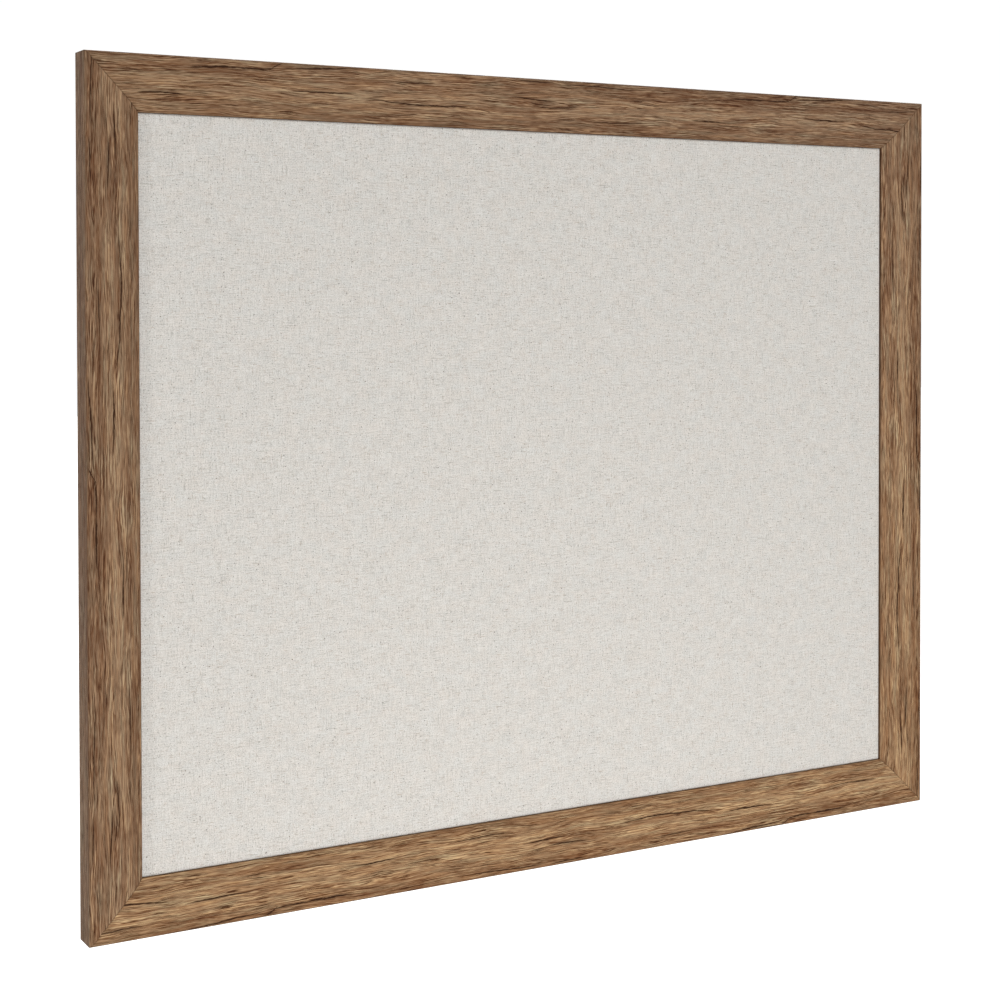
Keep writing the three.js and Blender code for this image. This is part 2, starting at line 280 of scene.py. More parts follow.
def print_cracks(tree, uv, place, across):
    """Long cracks, which wiggle, taper and break up, with a little shade beside them."""
    wiggle = add(tree, "ShaderNodeMapRange", {
        "Value": grain(tree, uv, (34, 400, 1), 5.7, 4.0),
        "To Min": -CRACK_WIGGLE * MM, "To Max": CRACK_WIGGLE * MM})
    ragged = add(tree, "ShaderNodeMapRange", {
        "Value": grain(tree, uv, (6, 0.9, 1), 8.9),
        "From Min": 0.38, "From Max": 0.6, "To Min": 0.4, "To Max": 1.2})
    cracks = None
    for start, end, across_start, across_end, sag, width in PRINT_CRACKS:
        run = add(tree, "ShaderNodeMapRange", {"Value": place, "From Min": start * MM, "From Max": end * MM})
        rest = add(tree, "ShaderNodeMath", {0: 1.0, 1: run}, operation="SUBTRACT")
        hump = add(tree, "ShaderNodeMath", {0: run, 1: rest}, operation="MULTIPLY")
        chord = add(tree, "ShaderNodeMapRange", {
            "Value": run, "To Min": across_start * MM, "To Max": across_end * MM})
        bowed = add(tree, "ShaderNodeMath", {0: hump, 1: 4 * sag * MM, 2: chord}, operation="MULTIPLY_ADD")
        middle = add(tree, "ShaderNodeMath", {0: bowed, 1: wiggle}, operation="ADD")
        aside = add(tree, "ShaderNodeMath", {0: across, 1: middle}, operation="SUBTRACT")
        off = add(tree, "ShaderNodeMath", {0: aside}, operation="ABSOLUTE")
        rise = add(tree, "ShaderNodeMath", {0: hump, 1: 4.0}, operation="MULTIPLY")
        taper = add(tree, "ShaderNodeMath", {0: rise, 1: 0.5}, operation="POWER")
        torn = add(tree, "ShaderNodeMath", {0: taper, 1: ragged}, operation="MULTIPLY")
        edge = add(tree, "ShaderNodeMath", {0: torn, 1: width / 2 * MM}, operation="MULTIPLY")
        deep = add(tree, "ShaderNodeMath", {0: edge, 1: off}, operation="SUBTRACT")
        shade, core = [
            add(tree, "ShaderNodeMapRange", {
                "Value": deep, "From Min": first * MM, "From Max": last * MM, "To Max": darkest})
            for first, last, darkest in (CRACK_SHADE, CRACK_CORE)]
        marked = add(tree, "ShaderNodeMath", {0: shade, 1: core}, operation="ADD")
        crack = add(tree, "ShaderNodeMath", {0: marked, 1: taper}, operation="MULTIPLY", use_clamp=True)
        cracks = crack if cracks is None else add(
            tree, "ShaderNodeMath", {0: cracks, 1: crack}, operation="MAXIMUM")
    return cracks


def woodgrain_foil():
    """Printed woodgrain foil on a wrapped moulding: brown weathered oak with cracks, and a matt lacquer."""
    material, tree = new_finish("printed_woodgrain_foil")
    uv = add(tree, "ShaderNodeUVMap", uv_map="foil")
    ways = add(tree, "ShaderNodeSeparateXYZ", {0: uv}).outputs
    along, across = ways[0], ways[1]
    place = add(tree, "ShaderNodeMath", {0: along, 1: PRINT_REPEAT * MM}, operation="MODULO")

    # The grain wanders a little off the rail's own line
    wander = add(tree, "ShaderNodeMapRange", {
        "Value": grain(tree, uv, (85, 16, 1), 3.1),
        "To Min": -PRINT_WANDER * MM, "To Max": PRINT_WANDER * MM})
    line = add(tree, "ShaderNodeMath", {0: across, 1: wander}, operation="ADD")
    smudges, line = print_smudges(tree, place, across, line)
    bent = add(tree, "ShaderNodeCombineXYZ", {0: along, 1: line})

    # Streaks at five sizes, added up round nought. The finest are faint in places and strong in others
    busy = add(tree, "ShaderNodeMapRange", {
        "Value": grain(tree, bent, (60, 7, 1), 131.0),
        "From Min": 0.36, "From Max": 0.64, "To Min": 0.5, "To Max": 1.65})
    tone = None
    for row, (length, width, weight, detail) in enumerate(PRINT_STREAKS):
        noisy = grain(tree, bent, (length, width, 1), 11.3 * (row + 1), detail, 0.66)
        centred = add(tree, "ShaderNodeMath", {0: noisy, 1: 0.5}, operation="SUBTRACT")
        streak = add(tree, "ShaderNodeMath", {0: centred, 1: weight}, operation="MULTIPLY")
        if width < FINE_WIDTH:
            streak = add(tree, "ShaderNodeMath", {0: streak, 1: busy}, operation="MULTIPLY")
        tone = streak if tone is None else add(tree, "ShaderNodeMath", {0: tone, 1: streak}, operation="ADD")
    lines = growth_lines(tree, bent, line)
    tone = add(tree, "ShaderNodeMath", {0: tone, 1: lines}, operation="SUBTRACT")

    # Open pores: thin dark hairlines, and pale fibres between them
    pores = add(tree, "ShaderNodeMapRange", {
        "Value": grain(tree, bent, (26, 0.45, 1), 71.0, 2.0, 0.6),
        "From Min": 0.58, "From Max": 0.63}, interpolation_type="SMOOTHSTEP")
    pores = add(tree, "ShaderNodeMath", {0: pores, 1: busy}, operation="MULTIPLY")
    tone = add(tree, "ShaderNodeMath", {0: tone, 1: pores}, operation="SUBTRACT")
    fibres = add(tree, "ShaderNodeMapRange", {
        "Value": grain(tree, bent, (18, 0.6, 1), 97.0, 2.0, 0.6),
        "From Min": 0.56, "From Max": 0.68, "To Max": 0.28}, interpolation_type="SMOOTHSTEP")
    tone = add(tree, "ShaderNodeMath", {0: tone, 1: fibres}, operation="ADD")

    # The bands, with their painted shade of the section, are added to the tone
    width_share = add(tree, "ShaderNodeMath", {0: line, 1: PRINT_WIDTH * MM}, operation="DIVIDE")
    band_and_shade = add(tree, "ShaderNodeFloatCurve", {"Factor": 1.0, "Value": width_share})
    curve = band_and_shade.mapping.curves[0]
    for point, (across_mm, level) in zip(curve.points, (PRINT_BANDS_AND_SHADE[0], PRINT_BANDS_AND_SHADE[-1])):
        point.location = (across_mm / PRINT_WIDTH, level)
    for across_mm, level in PRINT_BANDS_AND_SHADE[1:-1]:
        curve.points.new(across_mm / PRINT_WIDTH, level)
    band_and_shade.mapping.update()
    tone = add(tree, "ShaderNodeMath", {0: tone, 1: band_and_shade}, operation="ADD")
    tone = add(tree, "ShaderNodeMath", {0: tone, 1: smudges}, operation="SUBTRACT")
    wood = add(tree, "ShaderNodeValToRGB", {"Fac": tone})
    set_ramp(wood, ((0.0, "#472914"), (0.14, "#674228"), (0.28, "#7d593c"), (0.5, "#98785a"),
                    (0.74, "#b69571"), (0.88, "#c6a67e"), (1.0, "#d6b78e")))

    # Patches of the print lean to red, others to grey
    hue = add(tree, "ShaderNodeValToRGB", {"Fac": grain(tree, bent, (42, 5, 1), 23.0, 4.0, 0.65)})
    set_ramp(hue, ((0.36, "#f4fdff"), (0.5, "#fffefb"), (0.64, "#fff6ea")))
    wood = add(tree, "ShaderNodeMix", {
        "Factor": 1.0, "A": wood, "B": hue}, data_type="RGBA", blend_type="MULTIPLY")

    # Each rail is darkened its own way from end to end: painted shade for how the light falls on it,
    # darkest on the top rail and none on the bottom one, together with some of the print's own tone
    shade_share = add(tree, "ShaderNodeAttribute", attribute_name="weathering").outputs["Fac"]
    shaded_wood = add(tree, "ShaderNodeMix", {
        "Factor": 1.0, "A": wood, "B": colour("#dcddec")}, data_type="RGBA", blend_type="MULTIPLY")
    wood = add(tree, "ShaderNodeMix", {"Factor": shade_share, "A": wood, "B": shaded_wood}, data_type="RGBA")

    # The thin lip at the sight edge, all but its rounded corner, is painted dark: painted shade where it
    # turns into the recess by the linen, together with the foil's darker wrapped edge
    lip = add(tree, "ShaderNodeMapRange", {
        "Value": across, "From Min": LIP_SHADE_WAY[0] * MM, "From Max": LIP_SHADE_WAY[1] * MM, "To Max": 0.78})

    # At the mitres the cut edges are touched up dark
    spot = add(tree, "ShaderNodeSeparateXYZ", {0: add(tree, "ShaderNodeTexCoord").outputs["Object"]}).outputs
    wide, high = [add(tree, "ShaderNodeMath", {0: spot[axis]}, operation="ABSOLUTE") for axis in (0, 2)]
    slant = add(tree, "ShaderNodeMath", {0: wide, 1: high}, operation="SUBTRACT")
    on_mitre = (BOARD_WIDTH - BOARD_HEIGHT) / 2 * MM
    off = add(tree, "ShaderNodeMath", {0: slant, 1: on_mitre}, operation="SUBTRACT")
    off = add(tree, "ShaderNodeMath", {0: off}, operation="ABSOLUTE")
    mitre = add(tree, "ShaderNodeMapRange", {
        "Value": off, "From Min": MITRE_TOUCH_UP[0] * MM, "From Max": MITRE_TOUCH_UP[1] * MM,
        "To Min": 0.3, "To Max": 0.0})
    cracks = print_cracks(tree, uv, place, across)
    # Printed cracks, the lip's painted shade and the touched-up mitres, each mixed in its dark tint
    for share, dark_tint in ((cracks, "#331d0d"), (lip, "#38210f"), (mitre, "#2e1f13")):
        wood = add(tree, "ShaderNodeMix", {"Factor": share, "A": wood, "B": colour(dark_tint)}, data_type="RGBA")

    # The foil is embossed in register with its print, a few hundredths of a millimetre deep
    relief = add(tree, "ShaderNodeMath", {0: cracks, 1: -0.7, 2: streak}, operation="MULTIPLY_ADD")
    relief = add(tree, "ShaderNodeMath", {0: pores, 1: -0.7, 2: relief}, operation="MULTIPLY_ADD")
    bump = add(tree, "ShaderNodeBump", {"Height": relief, "Strength": 1.0, "Distance": 0.1 * MM})
    dull = add(tree, "ShaderNodeMapRange", {
        "Value": relief, "From Min": -0.4, "From Max": 0.2, "To Min": 0.78, "To Max": 0.58})
    shader = add(tree, "ShaderNodeBsdfPrincipled", {
        "Base Color": wood, "Roughness": dull, "IOR": 1.48, "Specular IOR Level": 0.16, "Normal": bump})
    add(tree, "ShaderNodeOutputMaterial", {"Surface": shader})
    return material


# How far from the middle of a corner nail's slit its painted shade is full and ends, in millimetres
SLIT_SHADE_EDGE = (0.3, 0.55)


def raw_mdf():
    """Bare medium-density fibreboard, as cut: pale brown, matt, with a felted fleck, and painted shade
    for the slits that the corner nails left across each mitre, each a dark line with a dent in the bump."""
    material, tree = new_finish("raw_medium_density_fibreboard")
    place = add(tree, "ShaderNodeTexCoord").outputs["Object"]
    felt = grain(tree, place, (1.1, 1.1, 1.1), 4.0, 4.0, 0.7)
    cloud = grain(tree, place, (30, 30, 30), 9.0)
    tone = add(tree, "ShaderNodeMath", {0: cloud, 1: 0.3, 2: felt}, operation="MULTIPLY_ADD")
    wood = add(tree, "ShaderNodeValToRGB", {"Fac": tone})
    set_ramp(wood, ((0.3, "#8a6f4d"), (0.65, "#a98d68"), (0.95, "#c0a580")))

    # How far each spot lies in from the nearest end and the nearest side, and from each slit
    spot = add(tree, "ShaderNodeSeparateXYZ", {0: place}).outputs
    insets = []
    for axis, size in ((0, BOARD_WIDTH), (2, BOARD_HEIGHT)):
        out = add(tree, "ShaderNodeMath", {0: spot[axis]}, operation="ABSOLUTE")
        insets.append(add(tree, "ShaderNodeMath", {0: size / 2 * MM, 1: out}, operation="SUBTRACT"))
    half_leg = NAIL_LEG / 2 * MM
    nearest = None
    for share in NAIL_PLACE_SHARES:
        inset = share * WOOD_BACK * MM
        for lengthwise, sideways in (insets, insets[::-1]):
            along = add(tree, "ShaderNodeMath", {0: lengthwise, 1: inset + half_leg}, operation="SUBTRACT")
            along = add(tree, "ShaderNodeMath", {0: along}, operation="ABSOLUTE")
            beyond = add(tree, "ShaderNodeMath", {0: along, 1: half_leg}, operation="SUBTRACT")
            middle = inset + NAIL_STRIP / 2 * MM
            off = add(tree, "ShaderNodeMath", {0: sideways, 1: middle}, operation="SUBTRACT")
            off = add(tree, "ShaderNodeMath", {0: off}, operation="ABSOLUTE")
            far = add(tree, "ShaderNodeMath", {0: beyond, 1: off}, operation="MAXIMUM")
            nearest = far if nearest is None else add(
                tree, "ShaderNodeMath", {0: nearest, 1: far}, operation="MINIMUM")
    slit = add(tree, "ShaderNodeMapRange", {
        "Value": nearest, "From Min": SLIT_SHADE_EDGE[0] * MM, "From Max": SLIT_SHADE_EDGE[1] * MM,
        "To Min": 0.85, "To Max": 0.0})
    # Painted shade in the slits
    wood = add(tree, "ShaderNodeMix", {"Factor": slit, "A": wood, "B": colour("#3d3226")}, data_type="RGBA")
    relief = add(tree, "ShaderNodeMath", {0: slit, 1: -2.0, 2: felt}, operation="MULTIPLY_ADD")
    bump = add(tree, "ShaderNodeBump", {"Height": relief, "Strength": 0.6, "Distance": 0.1 * MM})
    shader = add(tree, "ShaderNodeBsdfPrincipled", {
        "Base Color": wood, "Roughness": 0.92, "IOR": 1.45, "Normal": bump})
    add(tree, "ShaderNodeOutputMaterial", {"Surface": shader})
    return material


# Threads of the cloth in millimetres, from the middle of one to the next
THREAD_PITCH = 0.62

# Slubs, thicker stretches of tan or grey thread both ways: seed, size in millimetres, start, colour
SLUBS = (
    (41.0, (8, 0.75, 1), 0.63, "#a0876e"),
    (47.0, (0.75, 7, 1), 0.64, "#a0876e"),
    (59.0, (12, 0.85, 1), 0.64, "#8f8a80"),
    (67.0, (0.85, 11, 1), 0.65, "#8f8a80"),
)


def linen_cloth():
    """Plain-woven natural linen blend: off-white, with tan and grey slubs both ways and dark specks."""
    material, tree = new_finish("plain_woven_linen")
    uv = add(tree, "ShaderNodeUVMap", uv_map="weave")

    # Thick and thin stretches of thread, both ways, drawn wider than the threads are, to show from afar
    weft = grain(tree, uv, (13, 0.85, 1), 2.0, 3.0, 0.7)
    warp = grain(tree, uv, (0.85, 13, 1), 7.0, 3.0, 0.7)
    crossing = grain(tree, uv, (1.0, 1.0, 1), 5.0, 2.0, 0.7)
    cloud = grain(tree, uv, (20, 17, 1), 12.0, 4.0, 0.6)
    both = add(tree, "ShaderNodeMath", {0: weft, 1: warp}, operation="ADD")
    weave = add(tree, "ShaderNodeMath", {0: crossing, 1: 1.9, 2: both}, operation="MULTIPLY_ADD")
    tone = add(tree, "ShaderNodeMath", {0: cloud, 1: 0.18, 2: weave}, operation="MULTIPLY_ADD")
    level = add(tree, "ShaderNodeMapRange", {"Value": tone, "From Min": 1.35, "From Max": 2.8})
    cloth = add(tree, "ShaderNodeValToRGB", {"Fac": level})
    set_ramp(cloth, (
        (0.0, "#a6a29c"), (0.3, "#d6d5d2"), (0.5, "#ebe9e5"), (0.7, "#f8f7f5"), (1.0, "#fefefd")))

    # Undyed fibres tint whole patches a little pinkish or greenish
    tint = add(tree, "ShaderNodeValToRGB", {"Fac": grain(tree, uv, (16, 12, 1), 31.0, 5.0, 0.6)})
    set_ramp(tint, ((0.36, "#fdfeff"), (0.64, "#fffdfc")))
    cloth = add(tree, "ShaderNodeMix", {
        "Factor": 1.0, "A": cloth, "B": tint}, data_type="RGBA", blend_type="MULTIPLY")

    # The weave itself, over and under by turns, with painted shade at the thread edges and in the small
    # pits where the threads part
    ways = add(tree, "ShaderNodeSeparateXYZ", {0: uv}).outputs
    waves = []
    for axis, seed in ((0, 17.0), (1, 29.0)):
        noisy = grain(tree, uv, (9, 9, 1), seed, 3.0)
        uneven = add(tree, "ShaderNodeMath", {0: noisy, 1: 9.0}, operation="MULTIPLY")
        turn = add(tree, "ShaderNodeMath", {
            0: ways[axis], 1: math.pi / (THREAD_PITCH * MM), 2: uneven}, operation="MULTIPLY_ADD")
        waves.append(add(tree, "ShaderNodeMath", {0: turn}, operation="SINE"))
    product = add(tree, "ShaderNodeMath", {0: waves[0], 1: waves[1]}, operation="MULTIPLY")
    over = add(tree, "ShaderNodeMath", {0: product, 1: 0.0}, operation="GREATER_THAN")
    rounds = [add(tree, "ShaderNodeMath", {0: wave}, operation="ABSOLUTE") for wave in waves]
    flats = [add(tree, "ShaderNodeMath", {0: half, 1: 0.35}, operation="POWER") for half in rounds]
    upper = add(tree, "ShaderNodeMath", {0: rounds[0], 1: flats[1]}, operation="MULTIPLY")
    lower = add(tree, "ShaderNodeMath", {0: rounds[1], 1: flats[0]}, operation="MULTIPLY")
    threads = add(tree, "ShaderNodeMix", {"Factor": over, "A": lower, "B": upper}, data_type="FLOAT")
    marks = [(add(tree, "ShaderNodeMapRange", {
        "Value": threads, "From Max": 0.55, "To Min": 0.42, "To Max": 0.0}), "#8b857a")]
    for seed, size, start, thread in SLUBS:
        marks.append((add(tree, "ShaderNodeMapRange", {
            "Value": grain(tree, uv, size, seed, 2.0, 0.5), "From Min": start, "From Max": start + 0.1,
            "To Max": 0.55}, interpolation_type="SMOOTHSTEP"), thread))

    # Specks of bark left in the yarn
    marks.append((add(tree, "ShaderNodeMapRange", {
        "Value": grain(tree, uv, (1.7, 1.3, 1), 53.0, 1.0, 0.5),
        "From Min": 0.69, "From Max": 0.75, "To Max": 0.9}), "#55493c"))
    for share, mark in marks:
        cloth = add(tree, "ShaderNodeMix", {"Factor": share, "A": cloth, "B": colour(mark)}, data_type="RGBA")
    relief = add(tree, "ShaderNodeMath", {0: threads, 1: 0.6, 2: weave}, operation="MULTIPLY_ADD")
    bump = add(tree, "ShaderNodeBump", {"Height": relief, "Strength": 1.0, "Distance": 0.15 * MM})
    shader = add(tree, "ShaderNodeBsdfPrincipled", {
        "Base Color": cloth, "Roughness": 0.95, "IOR": 1.45, "Specular IOR Level": 0.2, "Normal": bump,
        "Sheen Weight": 0.08, "Sheen Roughness": 0.5})
    add(tree, "ShaderNodeOutputMaterial", {"Surface": shader})
    return material


def soft_fibreboard():
    """Soft fibreboard: felted wood fibre, pale tan and dead matt."""
    material, tree = new_finish("felted_soft_fibreboard")
    place = add(tree, "ShaderNodeTexCoord").outputs["Object"]
    fibre = grain(tree, place, (2.2, 0.8, 2.2), 6.0, 5.0, 0.75)
    tan = add(tree, "ShaderNodeValToRGB", {"Fac": fibre})
    set_ramp(tan, ((0.3, "#8d7350"), (0.55, "#a98f6c"), (0.8, "#c0a783")))
    bump = add(tree, "ShaderNodeBump", {"Height": fibre, "Strength": 0.8, "Distance": 0.3 * MM})
    shader = add(tree, "ShaderNodeBsdfPrincipled", {
        "Base Color": tan, "Roughness": 0.97, "IOR": 1.45, "Normal": bump})
    add(tree, "ShaderNodeOutputMaterial", {"Surface": shader})
    return material


# How far apart the wires of the screen stand that hardboard is pressed on, in millimetres
SCREEN_PITCH = 1.4


def hardboard():
    """Pressed hardboard, its screen side out: dark brown, flecked, with the wire screen's fine print."""
    material, tree = new_finish("pressed_hardboard")
    place = add(tree, "ShaderNodeTexCoord").outputs["Object"]
    fleck = grain(tree, place, (2.4, 1.2, 1.4), 3.0, 5.0, 0.78)
    cloud = grain(tree, place, (90, 90, 60), 8.0, 3.0)
    tone = add(tree, "ShaderNodeMath", {0: cloud, 1: 0.16, 2: fleck}, operation="MULTIPLY_ADD")
    brown = add(tree, "ShaderNodeValToRGB", {"Fac": tone})
    set_ramp(brown, ((0.3, "#4f3726"), (0.55, "#6f4f36"), (0.8, "#8a6747")))
    spot = add(tree, "ShaderNodeSeparateXYZ", {0: place}).outputs
    waves = []
    for axis in (0, 2):
        angle = add(tree, "ShaderNodeMath", {
            0: spot[axis], 1: 2 * math.pi / (SCREEN_PITCH * MM)}, operation="MULTIPLY")
        waves.append(add(tree, "ShaderNodeMath", {0: angle}, operation="SINE"))
    wires = add(tree, "ShaderNodeMath", {0: waves[0], 1: waves[1]}, operation="MULTIPLY")
    relief = add(tree, "ShaderNodeMath", {0: wires, 1: 0.35, 2: fleck}, operation="MULTIPLY_ADD")
    bump = add(tree, "ShaderNodeBump", {"Height": relief, "Strength": 0.7, "Distance": 0.15 * MM})
    shader = add(tree, "ShaderNodeBsdfPrincipled", {
        "Base Color": brown, "Roughness": 0.78, "IOR": 1.5, "Normal": bump})
    add(tree, "ShaderNodeOutputMaterial", {"Surface": shader})
    return material


def plated_steel(name, hexes, roughness, scuff_size):
    """Plated steel: a metal shine with faint cloudy patches and fine scuffs."""
    material, tree = new_finish(name)
    place = add(tree, "ShaderNodeTexCoord").outputs["Object"]
    cloud = grain(tree, place, (4, 4, 4), 3.0, 4.0, 0.6)
    scuff = grain(tree, place, scuff_size, 8.0, 3.0, 0.6)
    metal = add(tree, "ShaderNodeValToRGB", {"Fac": cloud})
    set_ramp(metal, tuple(zip((0.3, 0.5, 0.7), hexes)))
    dull = add(tree, "ShaderNodeMapRange", {
        "Value": scuff, "From Min": 0.3, "From Max": 0.7,
        "To Min": roughness - 0.07, "To Max": roughness + 0.1})
    bump = add(tree, "ShaderNodeBump", {"Height": scuff, "Strength": 0.4, "Distance": 0.02 * MM})
    shader = add(tree, "ShaderNodeBsdfPrincipled", {
        "Base Color": metal, "Metallic": 1.0, "Roughness": dull, "Normal": bump})
    add(tree, "ShaderNodeOutputMaterial", {"Surface": shader})
    return material


def moulded_rubber():
    """Moulded rubber: near black, matt, with a faint bloom."""
    material, tree = new_finish("moulded_rubber")
    place = add(tree, "ShaderNodeTexCoord").outputs["Object"]
    bloom = grain(tree, place, (2.5, 2.5, 2.5), 5.0, 4.0, 0.65)
    black = add(tree, "ShaderNodeValToRGB", {"Fac": bloom})
    set_ramp(black, ((0.35, "#1c1c1d"), (0.6, "#272728"), (0.8, "#39383a")))
    dull = add(tree, "ShaderNodeMapRange", {"Value": bloom, "To Min": 0.6, "To Max": 0.85})
    bump = add(tree, "ShaderNodeBump", {"Height": bloom, "Strength": 0.5, "Distance": 0.05 * MM})
    shader = add(tree, "ShaderNodeBsdfPrincipled", {
        "Base Color": black, "Roughness": dull, "IOR": 1.52, "Normal": bump})
    add(tree, "ShaderNodeOutputMaterial", {"Surface": shader})
    return material


foil = woodgrain_foil()
bare_wood = raw_mdf()
linen = linen_cloth()
core_board = soft_fibreboard()
back_board = hardboard()
zinc = plated_steel("zinc_plated_steel", ("#888c90", "#9ea2a5", "#b2b4b2"), 0.34, (3, 0.4, 3))
nickel = plated_steel("bright_nickel_plated_steel", ("#9c9b97", "#adaca8", "#bebdb9"), 0.2, (1.5, 0.5, 1.5))
rubber = moulded_rubber()


# Making pieces

def put(name, data):
    """An object of the scene that holds the data."""
    made = bpy.data.objects.new(name, data)
    bpy.context.scene.collection.objects.link(made)
    return made


def side_matrix(side):
    """Turns a shape from the top side to another one."""
    return Matrix.Rotation(side.quarters * math.pi / 2, 4, "Y")


def placed_on(side, along, back, up):
    """A place on a side, given in millimetres as on the top one."""
    return side_matrix(side) @ Matrix.Translation(Vector((along, back, up)) * MM)


def piece_from(name, mesh, body, nodes, sharp_degrees=30):
    """A finished piece at the origin: smooth but for its sharp edges, on its body, with the parts it stands
    for hidden.
    """
    mesh.shade_smooth()
    mesh.set_sharp_from_angle(angle=math.radians(sharp_degrees))
    piece = put(name, mesh)
    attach(piece, body)
    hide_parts(*nodes)
    return piece


def applied(holder):
    """The mesh that an object's modifiers make of its own. The object goes."""
    bpy.context.view_layer.update()
    shaped = holder.evaluated_get(bpy.context.evaluated_depsgraph_get())
    mesh = bpy.data.meshes.new_from_object(shaped)
    holder.modifiers.clear()
    bpy.data.objects.remove(holder)
    return mesh


def with_modifiers(mesh, *settings):
    """A copy of the mesh with modifiers applied, each given as its kind and its settings."""
    holder = put("holder", mesh)
    for kind, values in settings:
        modifier = holder.modifiers.new(kind.lower(), kind)
        for name, value in values.items():
            setattr(modifier, name, value)
    return applied(holder)


# Numbers that the trees carry on their points and that no finished piece keeps
HELPER_NAMES = ("inwards", "depth", "across", "share", "facing")


def shaped_by(tree, base, lengths, others):
    """What a Geometry Nodes tree makes of a mesh, its inputs given by name: lengths, in millimetres, and
    others."""
    holder = put("holder", base)
    modifier = holder.modifiers.new("shape", "NODES")
    modifier.node_group = tree
    sockets = {s.name: s.identifier for s in tree.interface.items_tree if s.in_out == "INPUT"}
    inputs = {name: value * MM for name, value in lengths.items()}
    for name, value in {**inputs, **others}.items():
        modifier[sockets[name]] = value
    mesh = applied(holder)
    for name in HELPER_NAMES:
        attribute = mesh.attributes.get(name)
        if attribute is not None:
            mesh.attributes.remove(attribute)
    for slot in reversed(range(len(mesh.materials))):
        if mesh.materials[slot] is None:
            mesh.materials.pop(index=slot)
    return mesh


def outline_mesh(points, closed, columns):
    """A line of edges whose points carry named numbers, for a tree to sweep."""
    mesh = bpy.data.meshes.new("outline")
    edges = [(i, i + 1) for i in range(len(points) - 1)]
    if closed:
        edges.append((len(points) - 1, 0))
    mesh.from_pydata([(p[0], p[1], 0.0) for p in points], edges, [])
    for column, key in enumerate(columns):
        attribute = mesh.attributes.new(key, "FLOAT", "POINT")
        attribute.data.foreach_set("value", [float(p[column]) for p in points])
    return mesh


# Outlines, in millimetres

def arc(centre, radius, start, end, steps):
    """Points on an arc, its angles in degrees."""
    angles = [math.radians(start + (end - start) * i / steps) for i in range(steps + 1)]
    return [(centre[0] + radius * math.cos(a), centre[1] + radius * math.sin(a)) for a in angles]


def bend(start, corner, end, steps):
    """Points on the curve that leaves its start and nears its end along the lines to the corner."""
    shares = [i / steps for i in range(steps + 1)]
    return [tuple((1 - t) ** 2 * a + 2 * t * (1 - t) * b + t * t * c for a, b, c in zip(start, corner, end))
            for t in shares]


def in_metres(points):
    """Rows of millimetres as rows of metres."""
    return [tuple(c * MM for c in point) for point in points]


# Parts of the shape trees

def new_tree(name, sizes, materials):
    """A Geometry Nodes tree with a geometry input, a named input for each size, and material inputs."""
    tree = bpy.data.node_groups.new(name, "GeometryNodeTree")
    tree.is_modifier = True
    rows = [("Geometry", "Geometry")]
    rows += [(size, "Int" if size in ("Stations", "Sides", "Seed") else "Float") for size in sizes]
    rows += [("Places", "Object")]
    rows += [(material, "Material") for material in materials]
    for row, kind in rows:
        tree.interface.new_socket(row, in_out="INPUT", socket_type="NodeSocket" + kind)
    tree.interface.new_socket("Geometry", in_out="OUTPUT", socket_type="NodeSocketGeometry")
    return tree, add(tree, "NodeGroupInput").outputs


def swept_along(tree, outline, line):
    """The outline swept along a line whose points carry their share of the way."""
    factor = add(tree, "GeometryNodeSplineParameter").outputs["Factor"]
    marked = add(tree, "GeometryNodeStoreNamedAttribute", {
        "Geometry": line, "Name": "share", "Value": factor}, data_type="FLOAT", domain="POINT")
    curve = add(tree, "GeometryNodeMeshToCurve", {"Mesh": outline})
    return add(tree, "GeometryNodeCurveToMesh", {
        "Curve": marked, "Profile Curve": curve, "Fill Caps": True})


def stretched_out(tree, outline, count):
    """The outline drawn out straight, with a count of stations on the way."""
    line = add(tree, "GeometryNodeCurvePrimitiveLine", {"Start": (0, 0, 0), "End": (1, 0, 0)})
    return swept_along(tree, outline, add(tree, "GeometryNodeResampleCurve", {"Curve": line, "Count": count}))


def end_tree(tree, entry, geometry):
    """Ends a tree with the geometry as one plain mesh in its finish."""
    real = add(tree, "GeometryNodeRealizeInstances", {"Geometry": geometry})
    made = add(tree, "GeometryNodeSetMaterial", {"Geometry": real, "Material": entry["Finish"]})
    add(tree, "NodeGroupOutput", {"Geometry": made})
    return tree


def set_out(tree, entry, shape, turn=None):
    """Ends a tree with the shape on every place, each turned about its own axis."""
    spots = add(tree, "GeometryNodeObjectInfo", {"Object": entry["Places"]}).outputs["Geometry"]
    facing = add(tree, "GeometryNodeInputNamedAttribute", {"Name": "facing"}, data_type="FLOAT_VECTOR")
    rotation = add(tree, "FunctionNodeEulerToRotation", {"Euler": facing})
    placed = add(tree, "GeometryNodeInstanceOnPoints", {
        "Points": spots, "Instance": shape, "Rotation": rotation})
    if turn is not None:
        placed = add(tree, "GeometryNodeRotateInstances", {
            "Instances": placed, "Rotation": turn, "Local Space": True})
    return end_tree(tree, entry, placed)


# Moulding

